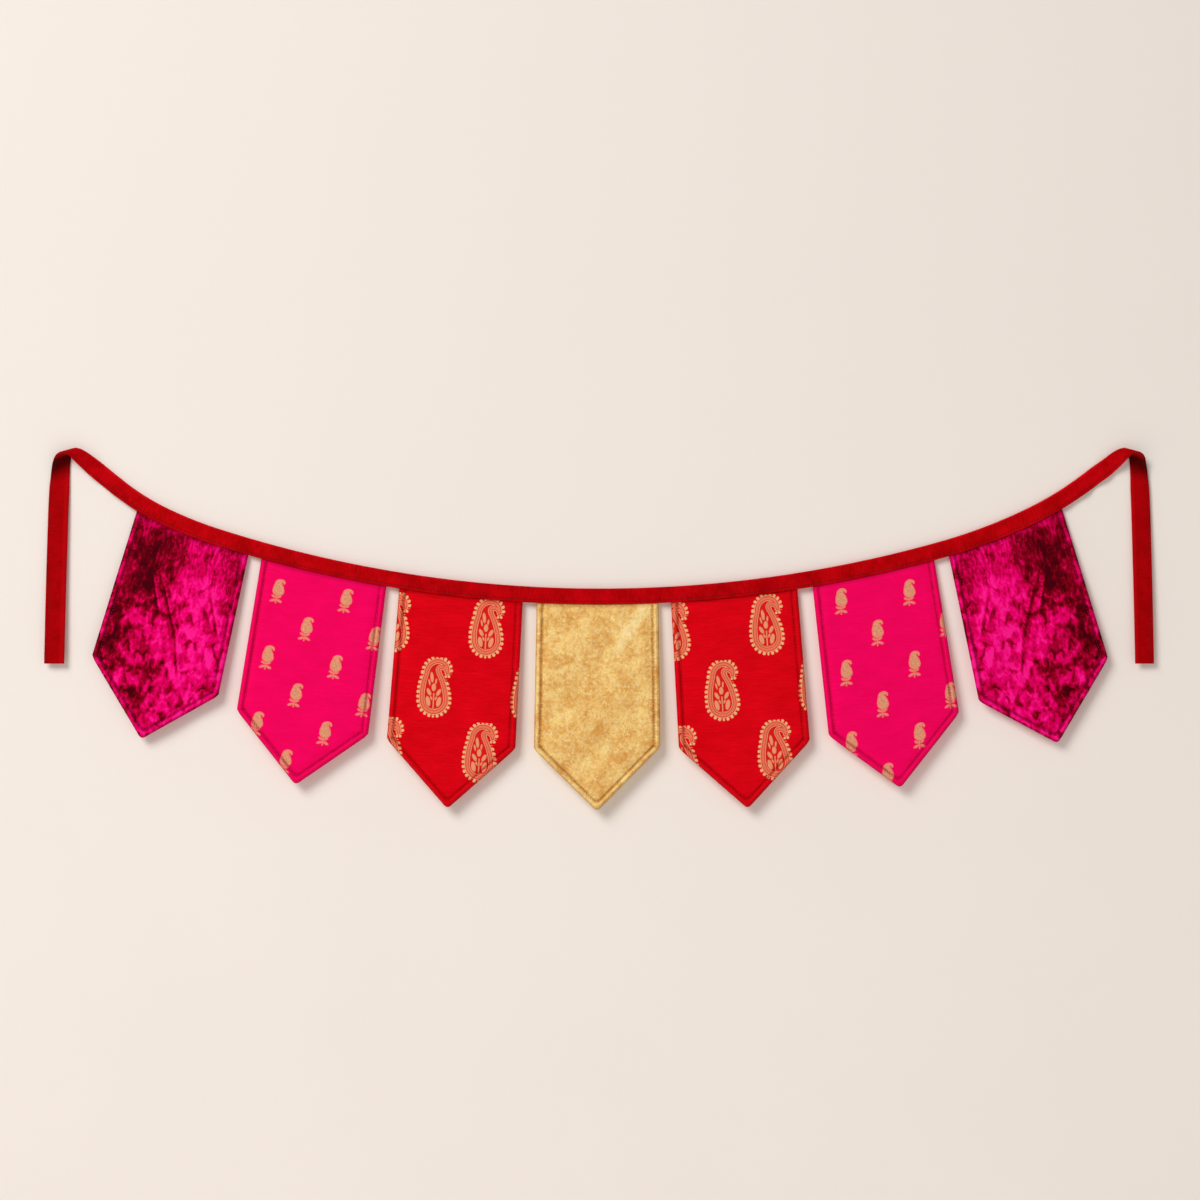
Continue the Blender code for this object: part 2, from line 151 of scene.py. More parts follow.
# %% Sides and lower edge
def ease(value):
    """0 to 1 with level ends: three times the square less twice the cube."""
    value = np.clip(value, 0.0, 1.0)
    return value * value * (3.0 - 2.0 * value)


def bell(distance, width):
    """1 at no distance and soft on both sides: e to the power of less the square of the
    distance in widths."""
    return np.exp(-((distance / width) ** 2))


class PanelShape:
    """A panel's own frame, x across and z up, with the middle of its head at the origin."""

    def __init__(self, panel):
        self.panel = panel
        self.tilt = math.radians(panel.tilt)
        edge_x, edge_z = lower_line()
        self.origin = (panel.head_x, float(np.interp(panel.head_x, edge_x, edge_z)))

    def to_world(self, x, y, z):
        """Turn by the tilt about the head, move into place and give metres."""
        cos, sin = math.cos(self.tilt), math.sin(self.tilt)
        world = [self.origin[0] + x * cos + z * sin, y, self.origin[1] - x * sin + z * cos]
        return np.stack(world, axis=-1) * MM

    def tape_height(self, x):
        """Height of the tape's lower edge at each x: its line turned into the panel's frame."""
        line_x, line_z = lower_line()
        cos, sin = math.cos(self.tilt), math.sin(self.tilt)
        line_x, line_z = line_x - self.origin[0], line_z - self.origin[1]
        return np.interp(x, line_x * cos - line_z * sin, line_x * sin + line_z * cos)

    def left(self, z):
        """The left side, a straight line from the head to the left shoulder."""
        panel = self.panel
        return panel.head_left + (panel.left_x - panel.head_left) * z / -panel.left_z

    def right(self, z):
        """The right side, a straight line from the head to the right shoulder."""
        panel = self.panel
        return panel.head_right + (panel.right_x - panel.head_right) * z / -panel.right_z

    def lower_edge(self, x):
        """The higher of two straight runs to the tip, lifted by a small parabola at the tip and
        at each shoulder so that the corners are round."""
        panel = self.panel
        from_left = (x - panel.left_x) / (panel.tip_x - panel.left_x)
        from_right = (panel.right_x - x) / (panel.right_x - panel.tip_x)
        z = np.maximum(
            -panel.left_z + from_left * (panel.left_z - panel.tip_z),
            -panel.right_z + from_right * (panel.right_z - panel.tip_z),
        )
        reach = TIP_RADIUS * math.sin(POINT_SLOPE)
        z = z + TIP_CUT * reach * np.clip(1.0 - np.abs(x - panel.tip_x) / reach, 0.0, 1.0) ** 2
        for foot in (panel.left_x, panel.right_x):
            near = np.clip(1.0 - np.abs(x - foot) / SHOULDER_RADIUS, 0.0, 1.0)
            z = z + SHOULDER_CUT * SHOULDER_RADIUS * near ** 2
        return z

    def inset(self, x, z):
        """Distance in from the free edge: the least of those to the sides and to the point."""
        sides = np.minimum(x - self.left(z), self.right(z) - x)
        low = (z - self.lower_edge(x)) * math.cos(POINT_SLOPE)
        return np.maximum(np.minimum(sides, low), 0.0)

    def run(self, x, z):
        """Distance along the free edge: down the sides, then along the point to the tip."""
        sides = np.minimum(x - self.left(z), self.right(z) - x)
        low = (z - self.lower_edge(x)) * math.cos(POINT_SLOPE)
        along_point = np.abs(x - self.panel.tip_x) / math.cos(POINT_SLOPE)
        return np.where(sides < low, -z, along_point)


shapes = {panel.name: PanelShape(panel) for panel in PANELS}
print("heads hang at", [tuple(round(v) for v in s.origin) for s in shapes.values()], "mm")

# %% [markdown]
# ## The thickness and the folds
#
# A bagged-out panel is sewn face to face and turned, so its rim is a soft roll of seam allowance.
# A row of topstitching sinks a channel just inside it, and the cloth beyond swells a little and
# puckers along the stitches. All of it could be sculpted. Formulas on the distance from the edge
# are steadier, because the roll then follows the corners by itself. The few creases that this
# hanging shows are straight ridges with their own places and heights.

# %% Roll, channel, bow and creases
EDGE_HALF = 1.75
ROLL_WIDTH = 4.4
ROLL_RISE = 0.95
PADDING_WIDTH = 1.6
CHANNEL_INSET = 6.3
CHANNEL_DEPTH = 1.4
CHANNEL_WIDTH = 1.4
DIP_DEPTH = 0.18
QUILT_RISE = 0.8
HEAD_HALF = 0.5
NECK = 5.0
RIPPLE_RISE = 1 / 6
RIPPLE_MARGIN = 1 / 3
PUCKER_PITCH = 5.6
PUCKER_INSIDE = 0.16
PUCKER_OUTSIDE = 0.1
CREASE_FADE = 0.7
BACK_SHARE = 0.4

Crease = namedtuple("Crease", "x0 z0 x1 z1 height width")
VELVET_CREASES = [
    Crease(-16, -52, 8, -98, 1.5, 1.9),
    Crease(8, -96, 24, -146, 1.4, 2.0),
    Crease(-30, -44, -12, -84, 1.1, 1.8),
    Crease(34, -50, 52, -92, 1.3, 1.9),
    Crease(-43, -131, -57, -138, 0.5, 1.6),
    Crease(-30, -150, -12, -190, 0.4, 2.2),
]
CREASES = {
    "cloth_1_velvet": VELVET_CREASES,
    "cloth_4_gold": [
        Crease(48, -19, 12, -50, 0.7, 6.0),
        Crease(-50, -60, -20, -22, 0.35, 7.0),
        Crease(54, -108, 20, -140, 0.35, 6.0),
        Crease(-46, -150, -8, -118, 0.3, 7.0),
        Crease(-20, -196, 30, -150, 0.35, 6.0),
    ],
    "cloth_6_pink": [
        Crease(2, -162, 44, -147, 0.45, 3.0),
        Crease(-19, -170, 11, -160, 0.35, 3.0),
        Crease(-40, -146, 9, -139, 0.25, 4.0),
    ],
    "cloth_7_velvet": [c._replace(x0=-c.x0, x1=-c.x1) for c in VELVET_CREASES],
}


def half_thickness(inset, below):
    """A quarter round up to the roll's width, plus a bell for the padding in the roll and a step
    for the padding inside, less a bell for the channel and a shallow dip beyond it. It flattens to
    the head's thickness where it goes up into the tape."""
    rim = np.sqrt(1.0 - np.clip(1.0 - inset / ROLL_WIDTH, 0.0, 1.0) ** 2)
    channel = CHANNEL_DEPTH * bell(inset - CHANNEL_INSET, CHANNEL_WIDTH)
    padding = ROLL_RISE * bell(inset - CHANNEL_INSET / 2, PADDING_WIDTH)
    dip = DIP_DEPTH * ease((inset - CHANNEL_INSET) / 6.0) * (1.0 - ease((inset - 12.0) / 24.0))
    quilt = QUILT_RISE * ease((inset - CHANNEL_INSET - 0.8) / 7.0)
    full = EDGE_HALF * rim + padding * rim + quilt - channel - dip
    flat = np.minimum(full, HEAD_HALF)
    return flat + (full - flat) * ease(below / NECK)


def bow(panel, x, z):
    """How far the middle of the cloth stands forward: half a sine wave down the panel, lifts
    that grow with the square of the way down, and a slanting ripple that fades at the rim."""
    down = np.clip(-(z + 4.0) / panel.tip_z, 0.0, 1.0)
    over = x / panel.head_right
    lift = panel.lift_tip
    lift = lift + (panel.lift_right - lift) * np.clip(over, 0.0, 1.0) ** 2
    lift = lift + (panel.lift_left - lift) * np.clip(-over, 0.0, 1.0) ** 2
    crests = math.radians(panel.ripple_angle)
    across = x * math.sin(crests) - z * math.cos(crests)
    wave = panel.ripple * np.sin(2.0 * math.pi * across / RIPPLE_LENGTH)
    calm = ease(down / RIPPLE_RISE) * ease((1.05 - np.abs(over)) / RIPPLE_MARGIN)
    return panel.belly * np.sin(math.pi * down) + lift * down ** 2 + wave * calm


def beside_crease(crease, x, z):
    """The share of the way along a crease's line, the distance beside it, above 0 on one side and
    below 0 on the other, and the line's length."""
    step_x, step_z = crease.x1 - crease.x0, crease.z1 - crease.z0
    off_x, off_z = x - crease.x0, z - crease.z0
    length = math.hypot(step_x, step_z)
    part = (off_x * step_x + off_z * step_z) / length ** 2
    return part, (off_z * step_x - off_x * step_z) / length, length


def relief(panel, inset, run, x, z):
    """Small forms on one face: puckers that fade away from the channel, and the creases, each a
    bell-shaped ridge over the distance to its line."""
    phase = 2.0 * math.pi * run / PUCKER_PITCH + 1.8 * np.sin(run / 13.0 + panel.head_x)
    inside = PUCKER_INSIDE * bell(inset - 9.0, 3.2) * np.sin(phase)
    outside = PUCKER_OUTSIDE * bell(inset - 3.2, 1.5) * np.sin(1.3 * phase + 1.0)
    total = inside + outside
    for crease in CREASES.get(panel.name, []):
        part, beside, length = beside_crease(crease, x, z)
        on_line = np.clip(part, 0.0, 1.0)
        away = np.hypot(beside, (part - on_line) * length)
        taper = 1.0 - (2.0 * on_line - 1.0) ** 2 * CREASE_FADE
        total = total + crease.height * taper * bell(away, crease.width)
    return total * ease(inset / 1.5)


def cloth_y(shape, x, z, face):
    """Depth of the front (-1) or back (1) face in millimetres: the bow, then half the thickness
    and the small forms outwards, which are fainter on the back."""
    below = shape.tape_height(x) - z
    inset = shape.inset(x, z)
    half = half_thickness(inset, below)
    small = relief(shape.panel, inset, shape.run(x, z), x, z) * ease((below - 1.0) / 8.0)
    share = 1.0 if face < 0 else BACK_SHARE
    return -bow(shape.panel, x, z) + face * (half + share * small)


print("half thickness at 0, 3, 6 and 30 mm in:",
      np.round(half_thickness(np.array([0.0, 3.0, 6.0, 30.0]), 50.0), 2))

# %% [markdown]
# ## The grid of a panel
#
# The columns keep a fixed distance from the sides near the rim and share out the middle. The rows
# do the same between the tape and the point. Each column's place depends on its height and each
# row's height on its x, so the two are settled in a few rounds, as whole arrays.

# %% Columns and rows
BORDER = 12.0
BORDER_STEPS = np.concatenate([np.arange(0.0, 8.9, 0.55), [9.4, 10.5, BORDER]])
FREE_COLUMNS = 58
FREE_ROWS = 78
HEAD_STEPS = np.array([-10.0, -9.0, -5.0, -1.5, -0.5, 0.3, 1.1, 2.0, 3.0, 4.2])
SETTLE_ROUNDS = 8


def spread(first, last, count):
    """Even shares between two ends, without the ends."""
    return np.linspace(first, last, count + 2)[1:-1]


def panel_grid(shape):
    """x and z of the grid. A column is a blend of the two sides plus an offset, and a row is a
    blend of the tape's edge and the lower edge plus an offset."""
    share = np.concatenate([np.zeros(len(BORDER_STEPS)), spread(0, 1, FREE_COLUMNS),
                            np.ones(len(BORDER_STEPS))])
    offset = np.concatenate([BORDER_STEPS, spread(BORDER, -BORDER, FREE_COLUMNS),
                             -BORDER_STEPS[::-1]])
    square = math.cos(POINT_SLOPE)
    down = np.concatenate([np.zeros(len(HEAD_STEPS)), spread(0, 1, FREE_ROWS),
                           np.ones(len(BORDER_STEPS))])
    drop = np.concatenate([-HEAD_STEPS, spread(-HEAD_STEPS[-1], BORDER / square, FREE_ROWS),
                           BORDER_STEPS[::-1] / square])
    z = np.repeat(-100.0 * down[:, None], len(share), axis=1)
    for _ in range(SETTLE_ROUNDS):
        x = shape.left(z) * (1.0 - share) + shape.right(z) * share + offset
        z = (shape.tape_height(x) * (1.0 - down[:, None])
             + shape.lower_edge(x) * down[:, None] + drop[:, None])
    return x, z


face_rows, face_columns = panel_grid(shapes["cloth_4_gold"])[0].shape
print("a face has", face_rows, "rows of", face_columns, "points")

# %% [markdown]
# ## Putting arrays into a mesh
#
# Blender can take a mesh as lists of points and faces. Flat arrays passed with foreach_set are
# the fastest way, so one helper does that for every piece. It also stores the cloth's own
# coordinates: a UV map in metres along the threads, and named values that finishes can read.


# %% Mesh helpers
def add_mesh(name, points, quads, uv=None, values=None):
    """Make an object from points, four-sided faces, a UV place for each point and named values
    for each point."""
    mesh = bpy.data.meshes.new(name)
    mesh.vertices.add(len(points))
    mesh.vertices.foreach_set("co", np.ravel(points).astype(np.float32))
    mesh.loops.add(quads.size)
    mesh.loops.foreach_set("vertex_index", np.ravel(quads).astype(np.int32))
    mesh.polygons.add(len(quads))
    mesh.polygons.foreach_set("loop_start", np.arange(0, quads.size, 4, dtype=np.int32))
    mesh.update(calc_edges=True)
    mesh.polygons.foreach_set("use_smooth", np.ones(len(quads), dtype=bool))
    if uv is not None:
        layer = mesh.uv_layers.new(name="cloth")
        layer.data.foreach_set("uv", uv[np.ravel(quads)].ravel().astype(np.float32))
    for key, value in (values or {}).items():
        layer = mesh.attributes.new(key, "FLOAT", "POINT")
        layer.data.foreach_set("value", np.ravel(value).astype(np.float32))
    mesh.validate()
    made = bpy.data.objects.new(name, mesh)
    bpy.context.scene.collection.objects.link(made)
    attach(made, "root")
    return made


def grid_quads(index):
    """Faces between neighbouring rows and columns of an array of point numbers."""
    corners = [index[:-1, :-1], index[1:, :-1], index[1:, 1:], index[:-1, 1:]]
    return np.stack(corners, axis=-1).reshape(-1, 4)


def two_layers(rows, columns):
    """Point numbers of a front and a back grid that share their rim."""
    front = np.arange(rows * columns).reshape(rows, columns)
    back = front.copy()
    inner = np.arange((rows - 2) * (columns - 2)).reshape(rows - 2, columns - 2)
    back[1:-1, 1:-1] = rows * columns + inner
    return front, back


print("two layers of 4 by 5 points share", 4 * 5 * 2 - two_layers(4, 5)[1].max() - 1, "points")

# %% [markdown]
# ## Sewing the panels
#
# Each panel is one closed cloth: the front grid and the back grid share their rim, as the two
# real layers share their seam. The UV map turns millimetres across and down into metres of woven
# cloth, with the small lean and stretch of a hand-cut piece. A stored value says where the velvet's
# pile lies flat and dark, given as soft ovals, and where painted shade and painted highlight lie
# beside the creases, given as strokes. The finish adds the fine pattern.

# %% Panel meshes
Oval = namedtuple("Oval", "x z wide high amount")
CRUSHED = [
    Oval(-46, -28, 22, 32, 0.75), Oval(-30, -62, 22, 24, 0.55), Oval(-54, -78, 12, 26, 0.45),
    Oval(-52, -118, 14, 22, 0.75), Oval(-20, -22, 16, 22, 0.45), Oval(52, -26, 14, 26, 0.35),
    Oval(-22, -176, 16, 26, 0.55), Oval(-4, -150, 14, 20, 0.3), Oval(-62, -140, 10, 14, 0.6),
    Oval(4, -84, 12, 14, 0.35), Oval(20, -55, 26, 26, -0.55), Oval(32, -120, 30, 46, -0.6),
    Oval(-30, -100, 18, 14, -0.35), Oval(-40, -160, 16, 14, -0.35), Oval(14, -180, 18, 20, -0.4),
]
Stroke = namedtuple("Stroke", "amount beside wide")
# painted shade and painted highlight beside the first four velvet creases
CREASE_SHADING_STROKES = [Stroke(0.75, -1.9, 1.4), Stroke(-0.55, 0.5, 1.2)]
SHADED_CREASES = VELVET_CREASES[:4]


def crush(x, z):
    """Sum of soft ovals, each a bell shape over its own widths. Beside each of the first four velvet
    creases it adds painted shade on the lower left side and painted highlight on the other side:
    two strokes, each a bell over the distance from its own place beside the crease."""
    total = np.zeros_like(x)
    for oval in CRUSHED:
        apart = ((x - oval.x) / oval.wide) ** 2 + ((z - oval.z) / oval.high) ** 2
        total = total + oval.amount * np.exp(-apart)
    for crease in SHADED_CREASES:
        part, beside, _ = beside_crease(crease, x, z)
        taper = ease((part + 0.08) / 0.25) * ease((1.08 - part) / 0.25)
        for stroke in CREASE_SHADING_STROKES:
            total = total + stroke.amount * bell(beside - stroke.beside, stroke.wide) * taper
    return total


def sew_panel(shape):
    """Front and back faces on one grid, closed at the rim."""
    panel, weave = shape.panel, shape.panel.weave
    x, z = panel_grid(shape)
    front_y, back_y = cloth_y(shape, x, z, -1), cloth_y(shape, x, z, 1)
    front_y[0], back_y[0] = -bow(panel, x[0], z[0]), -bow(panel, x[0], z[0])
    front, back = two_layers(*x.shape)
    inner = (slice(1, -1), slice(1, -1))

    def both(values_front, values_back):
        return np.concatenate([values_front.ravel(), values_back[inner].ravel()])

    all_x, all_z = both(x, x), both(z, z)
    points = shape.to_world(all_x, both(front_y, back_y), all_z)
    u = weave.side * (all_x - weave.start_x - weave.lean * (all_z - weave.start_z))
    v = (all_z - weave.start_z) * weave.stretch
    values = {
        "inset": shape.inset(all_x, all_z),
        "run": shape.run(all_x, all_z),
        "below": shape.tape_height(all_x) - all_z,
        "crush": crush(weave.side * all_x, all_z),
    }
    quads = np.vstack([grid_quads(front), grid_quads(back)[:, ::-1]])
    made = add_mesh(panel.name, points, quads, np.stack([u, v], axis=-1) * MM, values)
    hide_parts(panel.node)
    return made


cloths = {name: sew_panel(shape) for name, shape in shapes.items()}
print({name: len(cloth.data.polygons) for name, cloth in cloths.items()})

# %% [markdown]
# ## The route of the tape
#
# At each end the tape runs on as a tie. It folds forward over itself, turns and hangs straight
# down behind. The solids use a short table of sections for this, and the same table is drawn here
# with a smooth spline through its rows, only with many more steps. A row holds both edges of the
# tape, so the twist in the fold comes out by itself.

# %% Sections along the tape
Row = namedtuple("Row", "in_x in_y in_z out_x out_y out_z")
TIE_ROWS = [
    Row(515.0, -1.5, 130.7, 526.0, -1.5, 117.2),
    Row(526.3, -4.0, 139.2, 537.4, -5.0, 128.2),
    Row(533.5, -6.0, 143.4, 545.6, -8.8, 137.0),
    Row(537.4, -6.0, 144.4, 551.4, -11.5, 140.2),
    Row(539.9, -4.0, 144.2, 556.4, -11.0, 138.6),
    Row(542.2, -1.2, 142.2, 560.5, -7.6, 134.8),
    Row(544.4, 0.4, 137.1, 563.2, -4.0, 128.0),
    Row(545.8, 1.0, 129.4, 564.8, -1.4, 121.0),
    Row(546.5, 1.0, 117.4, 565.9, -0.2, 113.0),
    Row(546.8, 0.8, 101.6, 567.2, 0.3, 101.0),
    Row(547.9, 0.4, 70.7, 568.6, 0.6, 70.7),
    Row(550.2, 0.7, -4.0, 570.8, 0.2, -4.0),
    Row(552.0, 0.2, -77.2, 572.6, 0.8, -77.2),
]
TAIL_TOP = 130.0
TAIL_DRIFT = {-1: 0.0, 1: -0.6}
TAIL_NARROWING = {-1: 0.0, 1: 1.4}
NARROWING_RUN = 12.0
SPLINE_STEPS = 40
TAPE_STEP = 1.9
HEADING_END_X = 507.0
FLUTTER = 1.6
FLUTTER_LENGTH = 27.0
FLUTTER_FROM_X = 482.0
FLUTTER_TO_X = 530.0
FLUTTER_LOWEST = 40.0
FLUTTER_TOP_SHARE = 0.4


def along_rows(places, run, rows):
    """Every column of the rows, read off at these places along their run."""
    return np.stack([np.interp(places, run, column) for column in rows.T], axis=1)


def tie_route(side, first):
    """A Catmull-Rom spline through the tie's rows, starting from the heading's last section. The
    right tie drifts inwards and narrows a little on its way down."""
    rows = np.array(TIE_ROWS, dtype=float)
    fall = np.clip((TAIL_TOP - rows[:, 2]) / (TAIL_TOP - rows[-1, 2]), 0.0, 1.0)
    crest = int(np.argmax(rows[:, 5]))
    fallen = np.where(np.arange(len(rows)) > crest, rows[crest, 5] - rows[:, 5], 0.0)
    rows[:, 0] += TAIL_DRIFT[side] * fall
    rows[:, 3] += TAIL_DRIFT[side] * fall
    rows[:, 3] -= TAIL_NARROWING[side] * ease(fallen / NARROWING_RUN)
    rows[:, [0, 3]] *= side
    knots = np.vstack([first, rows, 2 * rows[-1] - rows[-2]])
    t = (np.arange(SPLINE_STEPS) / SPLINE_STEPS)[None, :, None]
    before, start, end, after = (knots[i:len(knots) - 3 + i, None, :] for i in range(4))
    spline = (2 * start + (end - before) * t
              + (2 * before - 5 * start + 4 * end - after) * t ** 2
              + (3 * start - before - 3 * end + after) * t ** 3) / 2
    return np.vstack([spline.reshape(-1, 6), knots[-2:-1]])


def tape_route():
    """Both edges of the tape from the left tie's end to the right one's, at even steps, and the
    runs at which the heading starts and ends. Between the outer panels and the ties the lower edge
    sways forwards and back as a sine wave, and the top edge a little the other way."""
    low_x, low_z = lower_line()
    level = np.zeros(len(CURVE))
    heading = np.stack([CURVE[:, 0], level, CURVE[:, 1], low_x, level, low_z], axis=1)
    heading = heading[np.abs(CURVE[:, 0]) < HEADING_END_X]
    left = tie_route(-1, heading[:1])[::-1]
    right = tie_route(1, heading[-1:])
    rows = np.vstack([left, heading, right])
    middle = (rows[:, :3] + rows[:, 3:]) / 2
    run = np.concatenate([[0.0], np.cumsum(np.linalg.norm(np.diff(middle, axis=0), axis=1))])
    steps = np.linspace(0.0, run[-1], round(run[-1] / TAPE_STEP) + 1)
    even = along_rows(steps, run, rows)
    out = np.abs(even[:, 0])
    near = ease((out - FLUTTER_FROM_X) / 12.0) * ease((FLUTTER_TO_X - out) / 14.0)
    on_top = ease((even[:, 5] - FLUTTER_LOWEST) / 30.0)
    sway = FLUTTER * near * on_top * np.sin(2.0 * math.pi * steps / FLUTTER_LENGTH)
    even[:, 1] -= FLUTTER_TOP_SHARE * sway
    even[:, 4] += sway
    return even, steps, run[len(left)], run[len(left) + len(heading) - 1]


route, tape_run, heading_start, heading_end = tape_route()
print("the strip is", round(tape_run[-1]), "mm long")
print("its heading is", round(heading_end - heading_start), "mm long")

# %% [markdown]
# ## Folding the tape
#
# Binding is a strip whose two edges are turned in before it is folded in half over the cloth. Here
# it is one open sheet that follows those folds: down inside one leaf, round its lower fold and up
# its face, then over the top and the same way back in the other leaf. Solidify gives the sheet its
# thickness. The heads of the panels press through as a slight swelling, and the edge stitching
# draws both leaves together.

# %% The folded strip
STRIP_THICKNESS = 0.42
TURNED_IN = 8.0
SEAM_RISE = 2.9
SEAM_DEPTH = 0.3
SEAM_WIDTH = 0.55
FACE_TOP = 5.6
CROWN = 1.5
HEADING_HALF = 1.25
HEAD_SWELL = 0.4
SWELL_REACH = 2.0
SWELL_EDGE = 5.0
TIE_HALF = 0.72
LEAF_GAP = 0.47
HEADING_FADE = 12.0
END_PRESS = 0.35
END_PRESS_RUN = 2.5


def heads_inside(x):
    """1 where a panel's head is inside the tape and 0 between heads, with soft ends."""
    inside = np.zeros_like(x)
    for panel in PANELS:
        cos = math.cos(math.radians(panel.tilt))
        low, high = panel.head_x + panel.head_left * cos, panel.head_x + panel.head_right * cos
        rising = ease((x - low + SWELL_REACH) / SWELL_EDGE)
        falling = ease((high + SWELL_REACH - x) / SWELL_EDGE)
        inside = np.maximum(inside, rising * falling)
    return inside


def leaf_depths(x, run):
    """Half of the folded strip's thickness: thick on the heading, more over the heads, thin on the
    ties, where it is only pressed flat, and thinnest at their ends."""
    fade = HEADING_FADE
    on_heading = (ease((run - heading_start + fade) / (2 * fade))
                  * ease((heading_end + fade - run) / (2 * fade)))
    at_end = np.minimum(run, run[-1] - run)
    flat = 1.0 - END_PRESS * (1.0 - ease(at_end / END_PRESS_RUN))
    uneven = 0.05 * np.sin(run / 9.0) + 0.04 * np.sin(run / 23.0 + 1.0)
    thick = HEADING_HALF + HEAD_SWELL * heads_inside(x) + uneven
    return TIE_HALF * flat + (thick - TIE_HALF) * on_heading


def strip_profile(width, half):
    """The folds in one section, as places across the tape and depths: arrays with one row for
    each section and one column for each point."""
    rise = np.array([TURNED_IN, 4.0, 1.2])
    fold = np.array([0.45, 0.1, 0.4])
    face = np.array([1.1, 1.9, 2.4, SEAM_RISE, 3.4, 4.2, FACE_TOP])
    upper = np.array([0.82, 0.62, 0.42, 0.25, 0.12])
    crown = np.array([CROWN, 0.8, 0.3, 0.0])
    crown_depth = np.array([0.97, 0.84, 0.55, 0.0])
    width, half = width[:, None], half[:, None]
    inner = half - LEAF_GAP
    between = (width - FACE_TOP) * upper + CROWN * (1 - upper)
    across = [width - rise, width - fold, width - face, between, crown + 0.0 * width]
    fold_depth = np.concatenate([inner + 0.03, inner + LEAF_GAP / 2, half - 0.02], axis=1)
    seam = SEAM_DEPTH * bell(face - SEAM_RISE, SEAM_WIDTH)
    depth = [inner + 0.0 * rise, fold_depth, half - seam, half + 0.0 * upper, half * crown_depth]
    across, depth = np.hstack(across), np.hstack(depth)
    return np.hstack([across, across[:, -2::-1]]), np.hstack([-depth, depth[:, -2::-1]])


def fold_tape():
    """Lay the profile along the route: across runs from the top edge to the lower edge, and depth
    along the normal of the two directions."""
    top, low = route[:, :3], route[:, 3:]
    across = low - top
    width = np.linalg.norm(across, axis=1)
    across = across / width[:, None]
    along = np.gradient((top + low) / 2, axis=0)
    normal = np.cross(along, across)
    normal = normal / np.linalg.norm(normal, axis=1)[:, None]
    half = leaf_depths((top[:, 0] + low[:, 0]) / 2, tape_run)
    place, depth = strip_profile(width, half)
    points = (top[:, None, :] + across[:, None, :] * place[:, :, None]
              + normal[:, None, :] * depth[:, :, None])
    steps = np.linalg.norm(np.diff(points, axis=1), axis=2)
    unfolded = np.hstack([np.zeros((len(points), 1)), np.cumsum(steps, axis=1)])
    return points, unfolded, place, width


strip, unfolded, strip_place, strip_width = fold_tape()
index = np.arange(strip.shape[0] * strip.shape[1]).reshape(strip.shape[:2])
strip_uv = np.stack([np.repeat(tape_run[:, None], strip.shape[1], axis=1), unfolded], axis=-1)
tape = add_mesh(
    "folded_tape", strip.reshape(-1, 3) * MM, grid_quads(index.T),
    strip_uv.reshape(-1, 2) * MM,
    {"seam": (strip_width[:, None] - strip_place).ravel(), "along": strip_uv[:, :, 0].ravel()},
)
thicken = tape.modifiers.new("cloth thickness", "SOLIDIFY")
thicken.thickness = STRIP_THICKNESS * MM
thicken.offset = 0.0
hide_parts("binding_tape")

# %% [markdown]
# ## Stitches
#
# A stitch is a short fat thread that dips into the cloth at both ends. One small capsule with a
# few dozen faces is made once and repeated along a line, each copy turned to its own direction
# and pressed partly into the cloth. A curve with a bevel would do for one long thread, but separate
# stitches catch the light one by one.

# %% Rows of stitches
STITCH_PITCH = 3.0
STITCH_LENGTH = 2.4
THREAD = 0.42
STITCH_DIP = 0.22
STITCH_JITTER = 0.12
STITCH_LIFT = 0.1
BELOW_TAPE = 2.0
POINT_STEPS = 240
SIDE_STEPS = 120
AROUND = 6
ALONG = np.array([-1.0, -0.8, -0.35, 0.35, 0.8, 1.0])
FATNESS = np.array([0.05, 0.7, 1.0, 1.0, 0.7, 0.05])


def capsule():
    """Rings round a short axis; each ring's radius comes from the fatness row, and the ends sink
    with the square of the distance from the middle."""
    turn = 2.0 * math.pi * np.arange(AROUND) / AROUND
    radius = THREAD / 2 * FATNESS[:, None]
    t = np.repeat(ALONG[:, None] * STITCH_LENGTH / 2, AROUND, axis=1)
    side = radius * np.cos(turn)
    up = radius * np.sin(turn) - STITCH_DIP * ALONG[:, None] ** 2
    ring = np.arange(len(ALONG) * AROUND).reshape(len(ALONG), AROUND)
    ring = np.hstack([ring, ring[:, :1]])
    return np.stack([t, side, up], axis=-1).reshape(-1, 3), grid_quads(ring)[:, ::-1]


def lay_stitches(name, lines, jitter_seed):
    """Copies of the capsule at even steps along each line of points; lines are pairs of places
    and outward directions, and every stitch takes the axes of its own step."""
    shape_points, shape_quads = capsule()
    shake = np.random.default_rng(jitter_seed)
    all_points, all_quads, count = [], [], 0
    for places, outwards in lines:
        run = np.concatenate([[0.0], np.cumsum(np.linalg.norm(np.diff(places, axis=0), axis=1))])
        at = np.arange(STITCH_PITCH / 2, run[-1], STITCH_PITCH)
        at = at + shake.uniform(-STITCH_JITTER, STITCH_JITTER, len(at))
        spot, up = along_rows(at, run, places), along_rows(at, run, outwards)
        forward = along_rows(at + 0.5, run, places) - along_rows(at - 0.5, run, places)
        forward = forward / np.linalg.norm(forward, axis=1)[:, None]
        side = np.cross(up, forward)
        side = side / np.linalg.norm(side, axis=1)[:, None]
        up = np.cross(forward, side)
        axes = np.stack([forward, side, up], axis=1)
        placed = spot[:, None, :] + np.einsum("pk,skc->spc", shape_points, axes)
        number = (count + np.arange(len(at))) * len(shape_points)
        all_points.append(placed.reshape(-1, 3))
        all_quads.append((shape_quads[None, :, :] + number[:, None, None]).reshape(-1, 4))
        count += len(at)
    made = add_mesh(name, np.vstack(all_points) * MM, np.vstack(all_quads))
    return made, count


